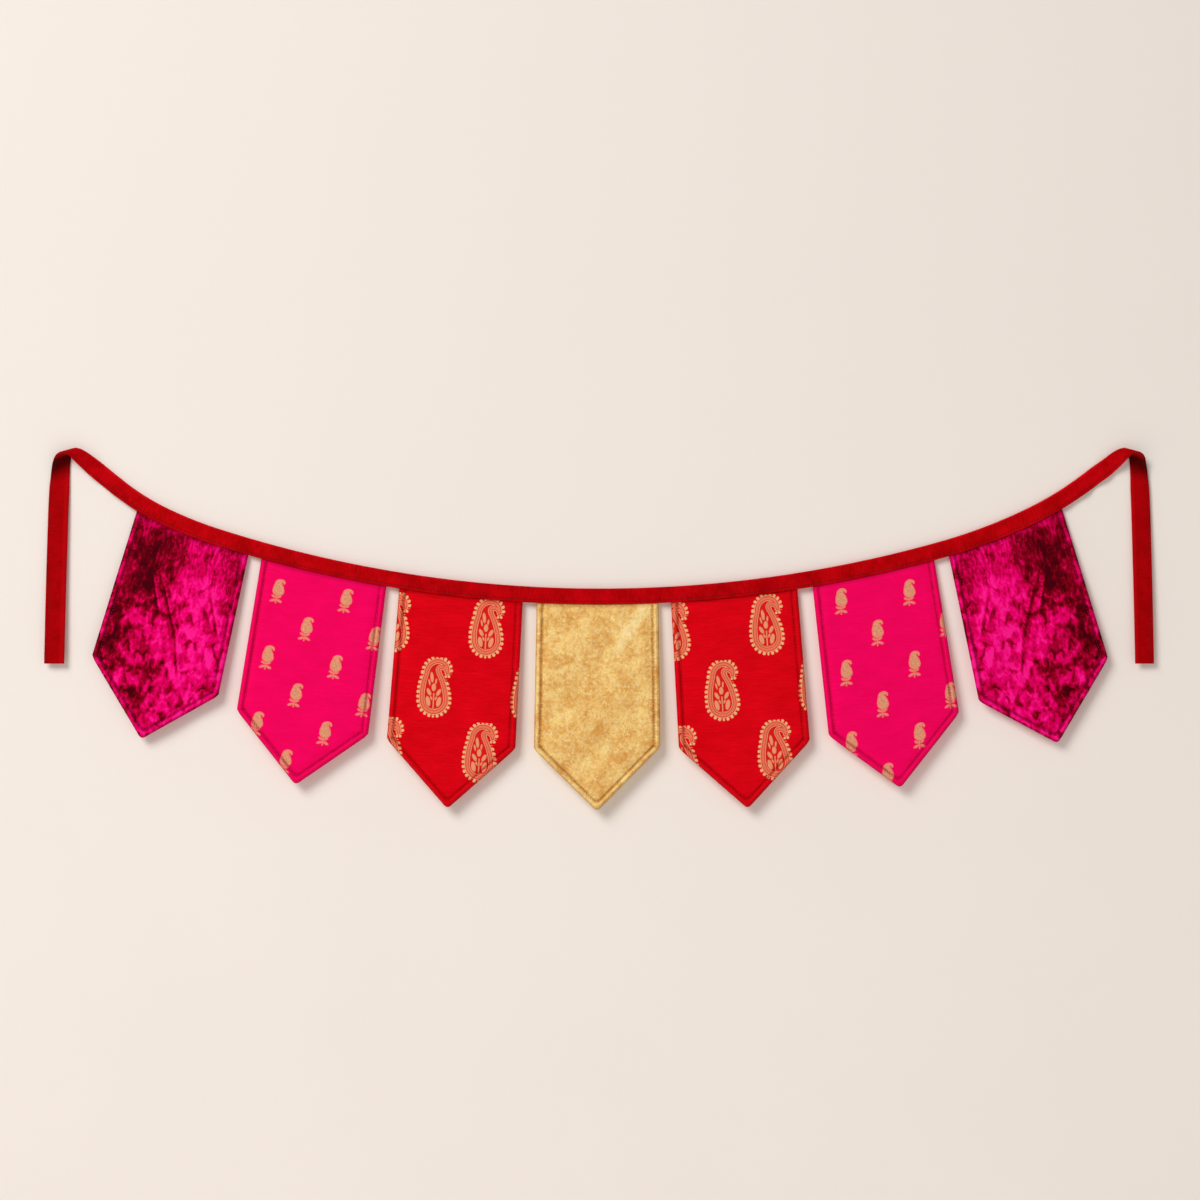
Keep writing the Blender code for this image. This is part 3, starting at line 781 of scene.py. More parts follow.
def channel_line(shape):
    """The topstitching's path: down the left side, along the point and up the right side."""
    panel = shape.panel
    square = math.cos(POINT_SLOPE)
    start = shape.tape_height(panel.head_left) - BELOW_TAPE
    end = shape.tape_height(panel.head_right) - BELOW_TAPE
    across = np.linspace(panel.left_x + CHANNEL_INSET, panel.right_x - CHANNEL_INSET, POINT_STEPS)
    low = shape.lower_edge(across) + CHANNEL_INSET / square
    left_z = np.linspace(start, low[0], SIDE_STEPS)[:-1]
    right_z = np.linspace(low[-1], end, SIDE_STEPS)[1:]
    x = np.concatenate([shape.left(left_z) + CHANNEL_INSET, across,
                        shape.right(right_z) - CHANNEL_INSET])
    z = np.concatenate([left_z, low, right_z])
    return x, z


def topstitch(shape):
    """Stitches in the channel of both faces, a little above the cloth."""
    x, z = channel_line(shape)
    lines = []
    for face in (-1, 1):
        y = cloth_y(shape, x, z, face) + face * STITCH_LIFT
        places = shape.to_world(x, y, z) / MM
        outwards = np.zeros_like(places)
        outwards[:, 1] = face
        lines.append((places, outwards))
    name = shape.panel.name.replace("cloth", "topstitch")
    made, count = lay_stitches(name, lines, round(abs(shape.panel.tip_z)))
    return made, count


threads = {name: topstitch(shape) for name, shape in shapes.items()}
print({name: count for name, (_, count) in threads.items()})

# %% [markdown]
# The tape has one row of edge stitching, which holds both leaves to the heads and runs on along
# the ties. A short row across each tie's end holds its hem.

# %% Stitches on the tape
END_HEM = 3.0
STITCH_STAND = 0.12
END_CLEAR = 4.0


def tape_point(run, rise, face):
    """A place on the tape, this far along and this far up from its lower edge, and the direction
    out of that face."""
    top, low = np.hsplit(along_rows(run, tape_run, route), 2)
    middle = (route[:, :3] + route[:, 3:]) / 2
    along = along_rows(run + 1.0, tape_run, middle) - along_rows(run - 1.0, tape_run, middle)
    across = low - top
    width = np.linalg.norm(across, axis=1)[:, None]
    normal = np.cross(along, across / width)
    normal = face * normal / np.linalg.norm(normal, axis=1)[:, None]
    half = np.interp(run, tape_run, leaf_depths(middle[:, 0], tape_run))
    height = half[:, None] + STRIP_THICKNESS / 2 - SEAM_DEPTH + STITCH_STAND
    return low - across / width * rise + normal * height, normal


edge_run = np.arange(END_CLEAR, tape_run[-1] - END_CLEAR, 1.0)
edge_lines = [tape_point(edge_run, SEAM_RISE, face) for face in (-1, 1)]
for end in (END_HEM, tape_run[-1] - END_HEM):
    rise = np.arange(2.0, strip_width[0] - 1.5, 0.5)[:, None]
    edge_lines += [tape_point(np.full(len(rise), end), rise, face) for face in (-1, 1)]
tape_thread, tape_stitches = lay_stitches("edge_stitching", edge_lines, 5)
print(tape_stitches, "stitches on the tape")

# %% [markdown]
# ## The cut of each panel
#
# A panel's cut is its outline up to the top of its head, and its area is found with the shoelace
# rule. The tape's cut is the whole strip before it was folded.

# %% Sheets
HEAD_TOP = 10.0
for name, shape in shapes.items():
    panel = shape.panel
    corner_x = np.array([panel.head_left, panel.left_x, panel.tip_x, panel.right_x,
                         panel.head_right])
    corner_z = np.array([HEAD_TOP, -panel.left_z, -panel.tip_z, -panel.right_z, HEAD_TOP])
    next_x, next_z = np.roll(corner_x, -1), np.roll(corner_z, -1)
    area = abs(np.dot(corner_x, next_z) - np.dot(corner_z, next_x)) / 2
    wide = panel.right_x - panel.left_x
    long = HEAD_TOP + panel.tip_z
    area * MM ** 2
    print(name, round(wide), "by", round(long), "mm, area", round(area / 100), "square cm")

# %% [markdown]
# ## A notation for finishes
#
# A finish is a tree of small nodes, and sums written as nodes are hard to read. One class wraps a
# node's output, so that a sum in Python such as 1 - mask adds the node by itself. Another holds a
# material and its tree, and makes every other node with one method.


# %% Sockets that do sums
class Wire:
    """One output of a node. Sums and the methods below add Math nodes and give a new wire."""

    def __init__(self, finish, socket):
        self.finish = finish
        self.socket = socket

    def sum(self, operation, *values):
        inputs = dict(enumerate((self, *values)))
        return self.finish.wire("Math", {"operation": operation}, inputs)

    def __add__(self, other):
        return self.sum("ADD", other)

    __radd__ = __add__

    def __mul__(self, other):
        return self.sum("MULTIPLY", other)

    __rmul__ = __mul__

    def __sub__(self, other):
        return self.sum("SUBTRACT", other)

    def __rsub__(self, other):
        return self.finish.wire("Math", {"operation": "SUBTRACT"}, {0: other, 1: self})

    def __truediv__(self, other):
        return self.sum("DIVIDE", other)

    def __rtruediv__(self, other):
        return self.finish.wire("Math", {"operation": "DIVIDE"}, {0: other, 1: self})

    def lesser(self, other):
        return self.sum("MINIMUM", other)

    def greater(self, other):
        return self.sum("MAXIMUM", other)

    def abs(self):
        return self.sum("ABSOLUTE")

    def sin(self):
        return self.sum("SINE")

    def root(self):
        return self.sum("SQRT")

    def floor(self):
        return self.sum("FLOOR")

    def over(self, other):
        """The part of other that is left over, always from 0 to other."""
        return self.sum("FLOORED_MODULO", other)

    def angle(self, across):
        """Angle of the point whose height is this wire and whose x is across."""
        return self.sum("ARCTAN2", across)

    def wave(self, pitch):
        """A sine wave from 0 to 1 with this pitch."""
        return (self * (2.0 * math.pi / pitch)).sin() * 0.5 + 0.5

    def rise(self, low, high):
        """0 below low, 1 above high and a smooth step between; the ends may be swapped."""
        inputs = {"Value": self, "From Min": low, "From Max": high}
        return self.finish.wire("MapRange", {"interpolation_type": "SMOOTHSTEP"}, inputs)


class Finish:
    """A material with one Principled shader. Constants go straight onto its sockets."""

    def __init__(self, name, **constants):
        self.material = bpy.data.materials.new(name)
        self.material.use_nodes = True
        self.tree = self.material.node_tree
        self.shader = self.tree.nodes["Principled BSDF"]
        for key, value in constants.items():
            label = key.replace("_", " ").title().replace("Ior", "IOR")
            self.shader.inputs[label].default_value = value

    def node(self, kind, settings=None, inputs=None):
        """Any node: its settings are set first, then each input gets a value or a wire."""
        made = self.tree.nodes.new("ShaderNode" + kind)
        settings = dict(settings or {})
        stops = settings.pop("stops", None)
        for key, value in settings.items():
            setattr(made, key, value)
        if stops:
            ramp = made.color_ramp.elements
            while len(ramp) < len(stops):
                ramp.new(1.0)
            for element, (position, shade) in zip(ramp, stops):
                element.position = position
                element.color = (*shade, 1.0)
        for key, value in (inputs or {}).items():
            if isinstance(value, Wire):
                self.tree.links.new(value.socket, made.inputs[key])
            else:
                made.inputs[key].default_value = value
        return made

    def wire(self, kind, settings=None, inputs=None, output=0):
        return Wire(self, self.node(kind, settings, inputs).outputs[output])

    def value(self, name):
        """A named value stored on the mesh."""
        return self.wire("Attribute", {"attribute_name": name}, output="Fac")

    def cloth(self):
        """The UV place in millimetres, and its two parts."""
        metres = self.wire("UVMap", {"uv_map": "cloth"})
        place = self.wire("VectorMath", {"operation": "SCALE"}, {0: metres, "Scale": 1000.0})
        parts = self.node("SeparateXYZ", None, {0: place})
        return place, Wire(self, parts.outputs[0]), Wire(self, parts.outputs[1])

    def vector(self, x, y, z=0.0):
        return self.wire("CombineXYZ", None, {0: x, 1: y, 2: z})

    def noise(self, place, size, detail=2.0, rough=0.5, warp=0.0, stretch=(1.0, 1.0)):
        """Noise from 0 to 1 whose blobs are about this many millimetres wide; stretch makes them
        longer across or down."""
        scale = (1.0 / (size * stretch[0]), 1.0 / (size * stretch[1]), 1.0)
        scaled = self.wire("VectorMath", {"operation": "MULTIPLY"}, {0: place, 1: scale})
        inputs = {"Vector": scaled, "Scale": 1.0, "Detail": detail, "Roughness": rough,
                  "Distortion": warp}
        return self.wire("TexNoise", {"noise_dimensions": "3D"}, inputs)

    def mix(self, amount, first, second):
        """A colour between two others."""
        return self.wire("Mix", {"data_type": "RGBA"}, {0: amount, 6: first, 7: second}, output=2)

    def connect(self, name, value):
        self.tree.links.new(value.socket, self.shader.inputs[name])

    def bump(self, height, depth, under=None):
        """Relief whose height of 1 stands for this many millimetres."""
        inputs = {"Height": height, "Distance": depth * MM, "Strength": 1.0}
        if under is not None:
            inputs["Normal"] = under
        return self.wire("Bump", None, inputs)


def length_of(across, up):
    """Length of the line with these two parts: the root of the sum of their squares."""
    return (across * across + up * up).root()


def colour(red, green, blue):
    """A colour given as it looks on a screen, 0 to 255, as the linear light that shaders use."""
    screen = np.array([red, green, blue]) / 255.0
    linear = np.where(screen <= 0.04045, screen / 12.92, ((screen + 0.055) / 1.055) ** 2.4)
    return tuple(float(v) for v in linear)


def opaque(red, green, blue):
    return (*colour(red, green, blue), 1.0)


print("crimson in linear light:", [round(v, 3) for v in colour(173, 2, 9)])

# %% [markdown]
# ## Slubbed silk
#
# The pink and the red panels are a silk blend. Its yarn is uneven, so thicker and thinner weft
# threads show as fine level streaks. Two noises stretched along the weft give them, a coarse one
# more for the colour and a finer one more for the relief. The needle also pulls at the cloth, so
# the channel is crossed by small puckers that follow the stored distance along the edge. Painted
# shade darkens the channel, more in some places than in others, and also the rim and the cloth by
# the tape.

# %% What all sewn cloths share
def sewn_edge(finish):
    """Masks for painted shade in the groove of the stitching, at the rim and by the tape, and bumps
    at the stitches' own pitch along the groove."""
    inset, run, below = finish.value("inset"), finish.value("run"), finish.value("below")
    away = (inset - CHANNEL_INSET).abs()
    free = below.rise(-1.0, 3.0)
    uneven = finish.noise(finish.vector(run, inset * 2.0), 9.0, 3.0).rise(0.3, 0.65)
    groove = away.rise(2.2, 0.2) * free * (0.5 + uneven * 0.6)
    rim = inset.rise(2.0, 0.0) * free
    contact = below.rise(6.0, 0.0)
    pull = run.wave(STITCH_PITCH) * away.rise(2.8, 0.6)
    return groove, rim, contact, pull


def silk_ground(finish, place, dark, light):
    """The plain cloth's colour and relief: streaks along the weft, finer slubs and broad patches."""
    streak = finish.noise(place, 0.9, 4.0, 0.6, 0.4, stretch=(26.0, 1.0))
    broad = finish.noise(place, 14.0, 3.0, 0.55, stretch=(2.2, 1.0))
    slub = finish.noise(place, 0.55, 3.0, 0.7, 0.3, stretch=(12.0, 1.0))
    tone = streak * 0.45 + slub * 0.3 + broad * 0.25
    ground = finish.mix(tone.rise(0.32, 0.68), dark, light)
    return ground, slub * 0.75 + streak * 0.25


def finish_cloth(finish, colours, relief_wire, depth, rough, shade):
    """Paint shade into the colour in the groove, at the rim and by the tape, mixing towards the
    shade colour, then connect colour, relief and roughness."""
    groove, rim, contact, pull = sewn_edge(finish)
    # painted shade: the colour darkens towards the shade colour in the groove, at the rim and by the
    # tape
    painted_shade = (groove * 0.7 + rim * 0.5 + contact * 0.6).lesser(0.9)
    shaded_colours = finish.wire("Mix", {"data_type": "RGBA", "blend_type": "MULTIPLY"},
                       {0: painted_shade, 6: colours, 7: (*shade, 1.0)}, output=2)
    finish.connect("Base Color", shaded_colours)
    finish.connect("Roughness", rough)
    under = finish.bump(pull, 0.35)
    finish.connect("Normal", finish.bump(relief_wire, depth, under))


print("puckers every", STITCH_PITCH, "mm along the stitching")

# %% [markdown]
# ## The large paisley
#
# The red cloth has a woven paisley, a drop with a curled tip, which is an old motif of this part
# of the world. It could be drawn as curves and rendered to a picture. As a distance it stays
# sharp at any size: each part of the shape gives the distance to its edge, the lesser of two
# distances joins two shapes, and a narrow range of distance is an outline. The beads sit at even
# steps of the way round the edge.

# %% Distances for the motifs
BULB = (0.6, -10.6, 14.2)
NECK_DISC = (-1.9, 14.4, 8.5)
HOOK_CENTRE = (5.1, 15.9)
HOOK_RADIUS = 7.0
HOOK_START = math.radians(191)
HOOK_END = math.radians(-4)
HOOK_THIN = 6.5
TIP = 2.2
AT_TIP = 0.999


def disc(x, y, centre_x, centre_y, radius):
    """Distance to a disc: below 0 inside."""
    return length_of(x - centre_x, y - centre_y) - radius


def drop(x, y):
    """Distance to the drop's body: the nearest place on the line from the bulb to the neck, less
    a radius that shrinks with the square of the way up."""
    low_x, low_y, low_radius = BULB
    high_x, high_y, high_radius = NECK_DISC
    step_x, step_y = high_x - low_x, high_y - low_y
    part = ((x - low_x) * step_x + (y - low_y) * step_y) / (step_x ** 2 + step_y ** 2)
    part = part.greater(0.0).lesser(1.0)
    away = length_of(x - low_x - part * step_x, y - low_y - part * step_y)
    return away - (low_radius - part * part * (low_radius - high_radius))


def hook(x, y):
    """Distance to the curled tip, a band along an arc that thins towards its end. Also the angle
    turned on the way, and the distance from the arc's centre."""
    across, up = x - HOOK_CENTRE[0], y - HOOK_CENTRE[1]
    out = length_of(across, up)
    turned = (HOOK_START - up.angle(across)).over(2.0 * math.pi)
    way = turned / (HOOK_START - HOOK_END)
    band = (out - HOOK_RADIUS).abs() - (TIP + HOOK_THIN * (1.0 - way))
    tip_x = HOOK_CENTRE[0] + HOOK_RADIUS * math.cos(HOOK_END)
    tip_y = HOOK_CENTRE[1] + HOOK_RADIUS * math.sin(HOOK_END)
    end = disc(x, y, tip_x, tip_y, TIP)
    return band + (end - band) * way.rise(AT_TIP, 2.0 - AT_TIP), turned, out


def leaf(x, y, centre_x, centre_y, wide, high, tilt):
    """Rough distance to a leaf: the place in the leaf's own tilted axes, scaled to a circle."""
    cos, sin = math.cos(math.radians(tilt)), math.sin(math.radians(tilt))
    along = ((x - centre_x) * cos + (y - centre_y) * sin) / wide
    up = ((y - centre_y) * cos - (x - centre_x) * sin) / high
    return (length_of(along, up) - 1.0) * min(wide, high)


# %% [markdown]
# The paisley is these shapes joined. Its beads follow the edge outside. A fine line, a broad band
# and another fine line follow it inside, and a sprig of leaves fills the field.

# %% The paisley's parts
BEAD_PITCH = 4.555
BEAD_OUT = 1.45
BEAD = 1.5
HOOK_RUN = (22.5, 18.1, -0.95)
NOTCH_LEFT, NOTCH_LOW, NOTCH_HIGH = 6.0, 9.0, 14.2
TIP_BEADS = [(13.9, 12.0, 1.3), (10.9, 11.7, 1.2)]
FAR = 9.0
PAISLEY_SIZE = (1.06, 1.09)
THREAD_EDGE = 0.35

Ring = namedtuple("Ring", "depth half")
OUTLINE = Ring(0.25, 0.42)
BAND = Ring(2.55, 1.2)
INNER_LINE = Ring(4.75, 0.36)


def bead_ring(x, y, shape, turned, out):
    """Beads at even steps. The run along the sides is the height, and round the bulb the angle
    times the radius. Round the hook it grows less and less with the angle, because the hook thins.
    None sit in the notch under the tip, where two single beads fill the place."""
    bulb_angle = (BULB[1] - y).angle((x - BULB[0]).abs())
    side_run = (y - BULB[1]).greater(0.0) - bulb_angle.greater(0.0) * (BULB[2] + BEAD_OUT)
    hook_run = HOOK_RUN[0] + turned * HOOK_RUN[1] + turned * turned * HOOK_RUN[2]
    above = (y - NECK_DISC[1]).rise(-0.01, 0.01)
    run = side_run + (hook_run - side_run) * above
    step, ring = run.over(BEAD_PITCH) - BEAD_PITCH / 2, shape - BEAD_OUT
    bead = length_of(step, ring) - BEAD
    inside = above * (HOOK_RADIUS - out).rise(-0.1, 0.1)
    notch = (x - NOTCH_LEFT).rise(-0.1, 0.1) * (y - NOTCH_LOW).rise(-0.1, 0.1)
    notch = notch * (NOTCH_HIGH - y).rise(-0.1, 0.1)
    first, second = (disc(x, y, *tip_bead) for tip_bead in TIP_BEADS)
    return (bead + FAR * (inside + notch)).lesser(first.lesser(second))


def sprig_of_leaves(x, y):
    """A stem with two pairs of leaves, a pair of small ones and a foot, mirrored about its middle,
    a bud, and a long petal with a short one on each side."""
    mirrored = (x - 0.2).abs()
    leaves = leaf(mirrored, y, 5.2, -12.4, 2.2, 4.8, -14)
    leaves = leaves.lesser(leaf(mirrored, y, 4.7, -3.6, 1.7, 3.7, -30))
    leaves = leaves.lesser(leaf(mirrored, y, 2.4, -19.6, 2.6, 0.9, 14))
    leaves = leaves.lesser(leaf(mirrored, y, 2.3, -9.2, 0.9, 1.9, -24))
    stem = (mirrored - 0.55).greater((y + 11.8).abs() - 7.4)
    bud = leaf(x, y, -0.1, 1.0, 2.1, 3.5, 0)
    petal = leaf(x, y, -2.3, 10.4, 1.6, 4.8, 8)
    petal = petal.lesser(leaf(x, y, -4.5, 5.6, 0.9, 2.9, 14))
    petal = petal.lesser(leaf(x, y, 1.8, 6.6, 0.9, 2.6, -6))
    return leaves.lesser(stem).lesser(bud).lesser(petal)


def ring_distance(shape, ring):
    """Distance to a ring that keeps to one depth inside the shape's edge."""
    return (shape + ring.depth).abs() - ring.half


def paisley(x, y):
    """Masks of the beads, the fine lines, the broad band, the sprig and the whole drop."""
    body = drop(x, y)
    curl, turned, out = hook(x, y)
    shape = body.lesser(curl)
    soft = THREAD_EDGE
    beads = bead_ring(x, y, shape, turned, out).rise(soft, -soft)
    outline = ring_distance(shape, OUTLINE)
    inner_line = ring_distance(shape, INNER_LINE)
    lines = outline.lesser(inner_line).rise(soft, -soft)
    band = ring_distance(shape, BAND).rise(soft, -soft)
    field = shape.rise(-5.2, -5.8)
    sprig = sprig_of_leaves(x, y).rise(soft, -soft) * field
    return beads, lines, band, sprig, shape.rise(0.2, -0.2)


def half_drop(x, y, wide, high, shift):
    """Place within the repeat: rows are half a repeat high, and every second row is shifted. Also
    the number of the row, 0 for the first one under the tape and -1 for the next."""
    row = (y / (high / 2) + 0.5).floor()
    near_y = y - row * (high / 2)
    near_x = (x - row.over(2.0) * shift + wide / 2).over(wide) - wide / 2
    return near_x, near_y, row


def within_rows(row, last):
    """1 from the first row to the last one that the cut shows, and 0 outside."""
    return row.rise(last - 0.6, last - 0.4) * row.rise(0.6, 0.4)


drop_high = (BULB[2] - BULB[1] + NECK_DISC[1] + NECK_DISC[2]) * PAISLEY_SIZE[1]
bead_step = BEAD_PITCH * PAISLEY_SIZE[1]
print("the drop is", round(drop_high), "mm high, with a bead every", round(bead_step, 1), "mm")

# %% [markdown]
# The red cloth repeats its paisley as a half drop: every second row is shifted sideways. The gold
# yarn is duller and rougher than metal, so it is only a little more lustrous than the silk.

# %% Red silk with paisleys
RED_REPEAT = (97.0, 128.5)
RED_SHIFT = -50.3
RED_LAST_ROW = -2
RED_YARN = (opaque(192, 0, 10), opaque(228, 4, 26))
FIELD_RED = opaque(216, 60, 50)
BAND_GOLD = (opaque(216, 96, 74), opaque(236, 140, 106))
LINE_GOLD = opaque(238, 168, 122)
SPRIG_GOLD = (opaque(222, 128, 94), opaque(242, 180, 132))
BEAD_GOLD = (opaque(226, 160, 108), opaque(246, 200, 146))
RED_SHADE = (0.5, 0.2, 0.2)


def red_silk():
    finish = Finish("red silk with paisleys", specular_ior_level=0.3,
                    specular_tint=opaque(255, 60, 50))
    place, x, y = finish.cloth()
    ground, threads_relief = silk_ground(finish, place, *RED_YARN)
    wobble = finish.noise(place, 2.2, 2.0) - 0.5
    near_x, near_y, row = half_drop(x + wobble * 0.5, y + wobble * 0.4, *RED_REPEAT, RED_SHIFT)
    shown = within_rows(row, RED_LAST_ROW)
    parts = paisley(near_x / PAISLEY_SIZE[0], near_y / PAISLEY_SIZE[1])
    beads, lines, band, sprig, inside = (part * shown for part in parts)
    yarn = finish.noise(place, 1.0, 2.0, 0.6, stretch=(3.0, 1.0))
    toned = finish.mix(inside * 0.22, ground, FIELD_RED)
    toned = finish.mix(band * 0.92, toned, finish.mix(yarn, *BAND_GOLD))
    toned = finish.mix(lines * 0.9, toned, LINE_GOLD)
    toned = finish.mix(sprig * 0.9, toned, finish.mix(yarn, *SPRIG_GOLD))
    toned = finish.mix(beads * 0.95, toned, finish.mix(yarn, *BEAD_GOLD))
    gold = beads.greater(band).greater(lines).greater(sprig)
    finish_cloth(finish, toned, threads_relief + gold * 0.9, 0.22, 0.62 - gold * 0.1, RED_SHADE)
    return finish.material


RED = red_silk()
print(len(RED.node_tree.nodes), "nodes in the red silk")

# %% [markdown]
# ## Pink silk with small motifs
#
# The pink cloth carries a small solid drop on a foot of leaves, called a buti. It uses the same
# drop and hook as the large paisley, squeezed to a few millimetres, with plain leaves under it.

# %% Pink silk
PINK_REPEAT = (70.6, 70.0)
PINK_SHIFT = 35.0
PINK_LAST_ROW = -5
BUTI_SQUEEZE = (0.42, 0.33)
BUTI_RISE = 4.0
PINK_YARN = (opaque(226, 0, 80), opaque(247, 2, 98))
BUTI_TAN = (opaque(200, 132, 98), opaque(226, 172, 128))
BUTI_PALE = (opaque(224, 110, 96), opaque(236, 160, 122))
PINK_SHADE = (0.5, 0.2, 0.42)


def buti(x, y):
    """The lesser of the squeezed drop's distance and those of the leaves of its foot."""
    small_x, small_y = x / BUTI_SQUEEZE[0], (y - BUTI_RISE) / BUTI_SQUEEZE[1]
    body = drop(small_x, small_y).lesser(hook(small_x, small_y)[0]) * min(BUTI_SQUEEZE)
    mirrored = (x + 0.9).abs()
    foot = leaf(mirrored, y, 2.7, -5.2, 2.5, 1.2, 26)
    foot = foot.lesser(leaf(mirrored, y, 3.2, -9.4, 3.1, 1.3, -22))
    stem = (mirrored - 0.65).greater((y + 7.5).abs() - 4.6)
    return body, foot.lesser(stem)


def pink_silk():
    finish = Finish("pink silk with small motifs", specular_ior_level=0.3,
                    specular_tint=opaque(255, 70, 130))
    place, x, y = finish.cloth()
    ground, threads_relief = silk_ground(finish, place, *PINK_YARN)
    wobble = finish.noise(place, 1.6, 2.0) - 0.5
    near_x, near_y, row = half_drop(x + wobble * 0.7, y + wobble * 0.7, *PINK_REPEAT, PINK_SHIFT)
    body, foot = buti(near_x, near_y)
    shown = within_rows(row, PINK_LAST_ROW)
    yarn = finish.noise(place, 1.1, 2.0, 0.6, stretch=(2.0, 1.0))
    tan = finish.mix(yarn.rise(0.35, 0.65), *BUTI_TAN)
    pale = finish.mix(yarn, *BUTI_PALE)
    core = body.rise(-0.9, -1.5)
    drop_mask, foot_mask = body.rise(0.3, -0.3) * shown, foot.rise(0.35, -0.3) * shown
    toned = finish.mix(foot_mask * 0.85, ground, pale)
    toned = finish.mix(drop_mask * 0.92, toned, finish.mix(core, pale, tan))
    gold = drop_mask.greater(foot_mask)
    finish_cloth(finish, toned, threads_relief + gold * 0.9, 0.2, 0.62 - gold * 0.1, PINK_SHADE)
    return finish.material


PINK = pink_silk()
print(len(PINK.node_tree.nodes), "nodes in the pink silk")

# %% [markdown]
# ## Gold brocade
#
# The middle panel is a satin brocade: its figure has the same gold as its ground, and only the
# way the threads lie tells them apart. So the figure mostly changes the relief and the gloss, and
# its paler colour is a painted sheen. Lines of equal value in a warped noise give small scrolling
# tendrils. They show only in places, and fine darker veins fill the rest. Painted sheen lies on the
# satin in broad slanting bands, with a painted highlight at the upper right corner and on the roll.

# %% Gold satin with a figure of its own colour
SHINE = (0.83, 0.56)
SHINE_PLACE = 41.5
SATIN = (opaque(218, 156, 74), opaque(248, 213, 134))
VEIN_GOLD = opaque(196, 130, 52)
FIGURE_SHEEN_GOLD = opaque(252, 226, 166)
SHINE_GOLD = opaque(255, 238, 190)
GOLD_SHADE = (0.5, 0.3, 0.13)


def gold_brocade():
    finish = Finish("gold brocade", specular_ior_level=0.6, specular_tint=opaque(255, 214, 140))
    place, x, y = finish.cloth()
    showing = finish.noise(place, 4.5, 2.0, 0.5).rise(0.44, 0.58)
    tendril = (finish.noise(place, 6.5, 1.5, 0.5, 1.4) - 0.5).abs().rise(0.05, 0.012)
    curl = (finish.noise(place, 4.2, 1.5, 0.5, 1.8) - 0.52).abs().rise(0.06, 0.015)
    vein = (finish.noise(place, 5.2, 2.0, 0.5, 1.5) - 0.46).abs().rise(0.05, 0.01) * (1 - showing)
    figure = tendril.greater(curl) * showing
    # painted sheen in broad slanting bands
    slanting = finish.vector(x + y, (x - y) * 1.4)
    sheen = finish.noise(slanting, 34.0, 2.5, 0.5, 0.5)
    patchy = finish.noise(place, 11.0, 4.0, 0.6, 0.8)
    mottled = finish.noise(place, 2.6, 3.0, 0.65, 0.9)
    # painted highlight, brightest at the upper right corner
    corner_highlight = (y * SHINE[1] - x * SHINE[0] + SHINE_PLACE).abs().rise(9.0, 1.0) * x.rise(12.0, 30.0)
    corner_highlight = corner_highlight * (patchy.rise(0.35, 0.6) * 0.7 + 0.3)
    # painted highlight on the roll
    on_roll = (finish.value("inset") - CHANNEL_INSET / 2).abs().rise(2.4, 0.4)
    roll_highlight = on_roll * patchy.rise(0.35, 0.6)
    tone = sheen * 0.46 + patchy * 0.34 + mottled * 0.2 + corner_highlight * 0.3 + roll_highlight * 0.04
    ground = finish.mix(tone.rise(0.38, 0.63), *SATIN)
    toned = finish.mix(vein * 0.55, ground, VEIN_GOLD)
    # the figure is painted paler: a painted sheen on its pattern
    toned = finish.mix(figure * 0.6, toned, FIGURE_SHEEN_GOLD)
    toned = finish.mix(corner_highlight * 0.4, toned, SHINE_GOLD)
    finish_cloth(finish, toned, figure * 0.8 + mottled * 0.4 - vein * 0.5, 0.24,
                 0.42 - figure * 0.12, GOLD_SHADE)
    return finish.material


GOLD = gold_brocade()
print(len(GOLD.node_tree.nodes), "nodes in the gold brocade")

# %% [markdown]
# ## Crushed velvet
#
# Velvet is dark where one looks into the pile and bright where the pile lies over. Crushing lays
# it in all directions, so the cloth breaks up into sharp-edged patches from wine to hot magenta.
# The stored ovals give the large dark areas, and the stored strokes the painted shade and painted
# highlight beside the creases. Warped noise at three sizes breaks their edges, and short streaks
# hang from the tape, where the pile was combed by the seam. Small pits are darker still, and the
# roll at the rim gets a painted highlight.

# %% Velvet
PILE = [(0.0, colour(62, 0, 4)), (0.2, colour(110, 0, 10)), (0.42, colour(158, 0, 40)),
        (0.62, colour(206, 0, 80)), (0.82, colour(234, 3, 112)), (1.0, colour(248, 30, 142))]
VELVET_SHADE = (0.3, 0.1, 0.2)


def crushed_velvet():
    finish = Finish("crushed velvet", specular_ior_level=0.2, specular_tint=opaque(255, 60, 150),
                    sheen_weight=0.08, sheen_roughness=0.4, sheen_tint=opaque(255, 50, 140))
    place, _, _ = finish.cloth()
    # laid pile as soft ovals, and painted shade and painted highlight beside the creases
    laid_and_shaded, below = finish.value("crush"), finish.value("below")
    patches = finish.noise(place, 19.0, 2.0, 0.5, 0.5)
    facets = finish.noise(place, 8.5, 1.8, 0.5, 0.6, stretch=(0.8, 1.3))
    flecks = finish.noise(place, 3.3, 1.8, 0.5, 0.4, stretch=(0.85, 1.2))
    streaks = finish.noise(place, 2.6, 3.0, 0.6, 0.7, stretch=(1.0, 5.0))
    combed = below.rise(75.0, 10.0)
    broken = facets + (streaks - facets) * combed * 0.75
    pile = 0.55 + (patches - 0.5) * 1.2 + (broken - 0.5) * 1.8 + (flecks - 0.5) * 0.8 - laid_and_shaded * 0.6
    pits = facets.rise(0.42, 0.34) * flecks.rise(0.44, 0.56)
    # painted highlight on the roll at the rim
    roll_highlight_on_velvet = (finish.value("inset") - CHANNEL_INSET / 2).abs().rise(2.4, 0.6)
    pile = (pile - pits * 0.35 + roll_highlight_on_velvet * 0.2).rise(-0.25, 1.25)
    toned = finish.wire("ValToRGB", {"stops": PILE}, {0: pile})
    finish_cloth(finish, toned, pile * 0.5 + facets * 0.5, 0.5, 0.75 - pile * 0.1, VELVET_SHADE)
    return finish.material


VELVET = crushed_velvet()
print(len(VELVET.node_tree.nodes), "nodes in the velvet")
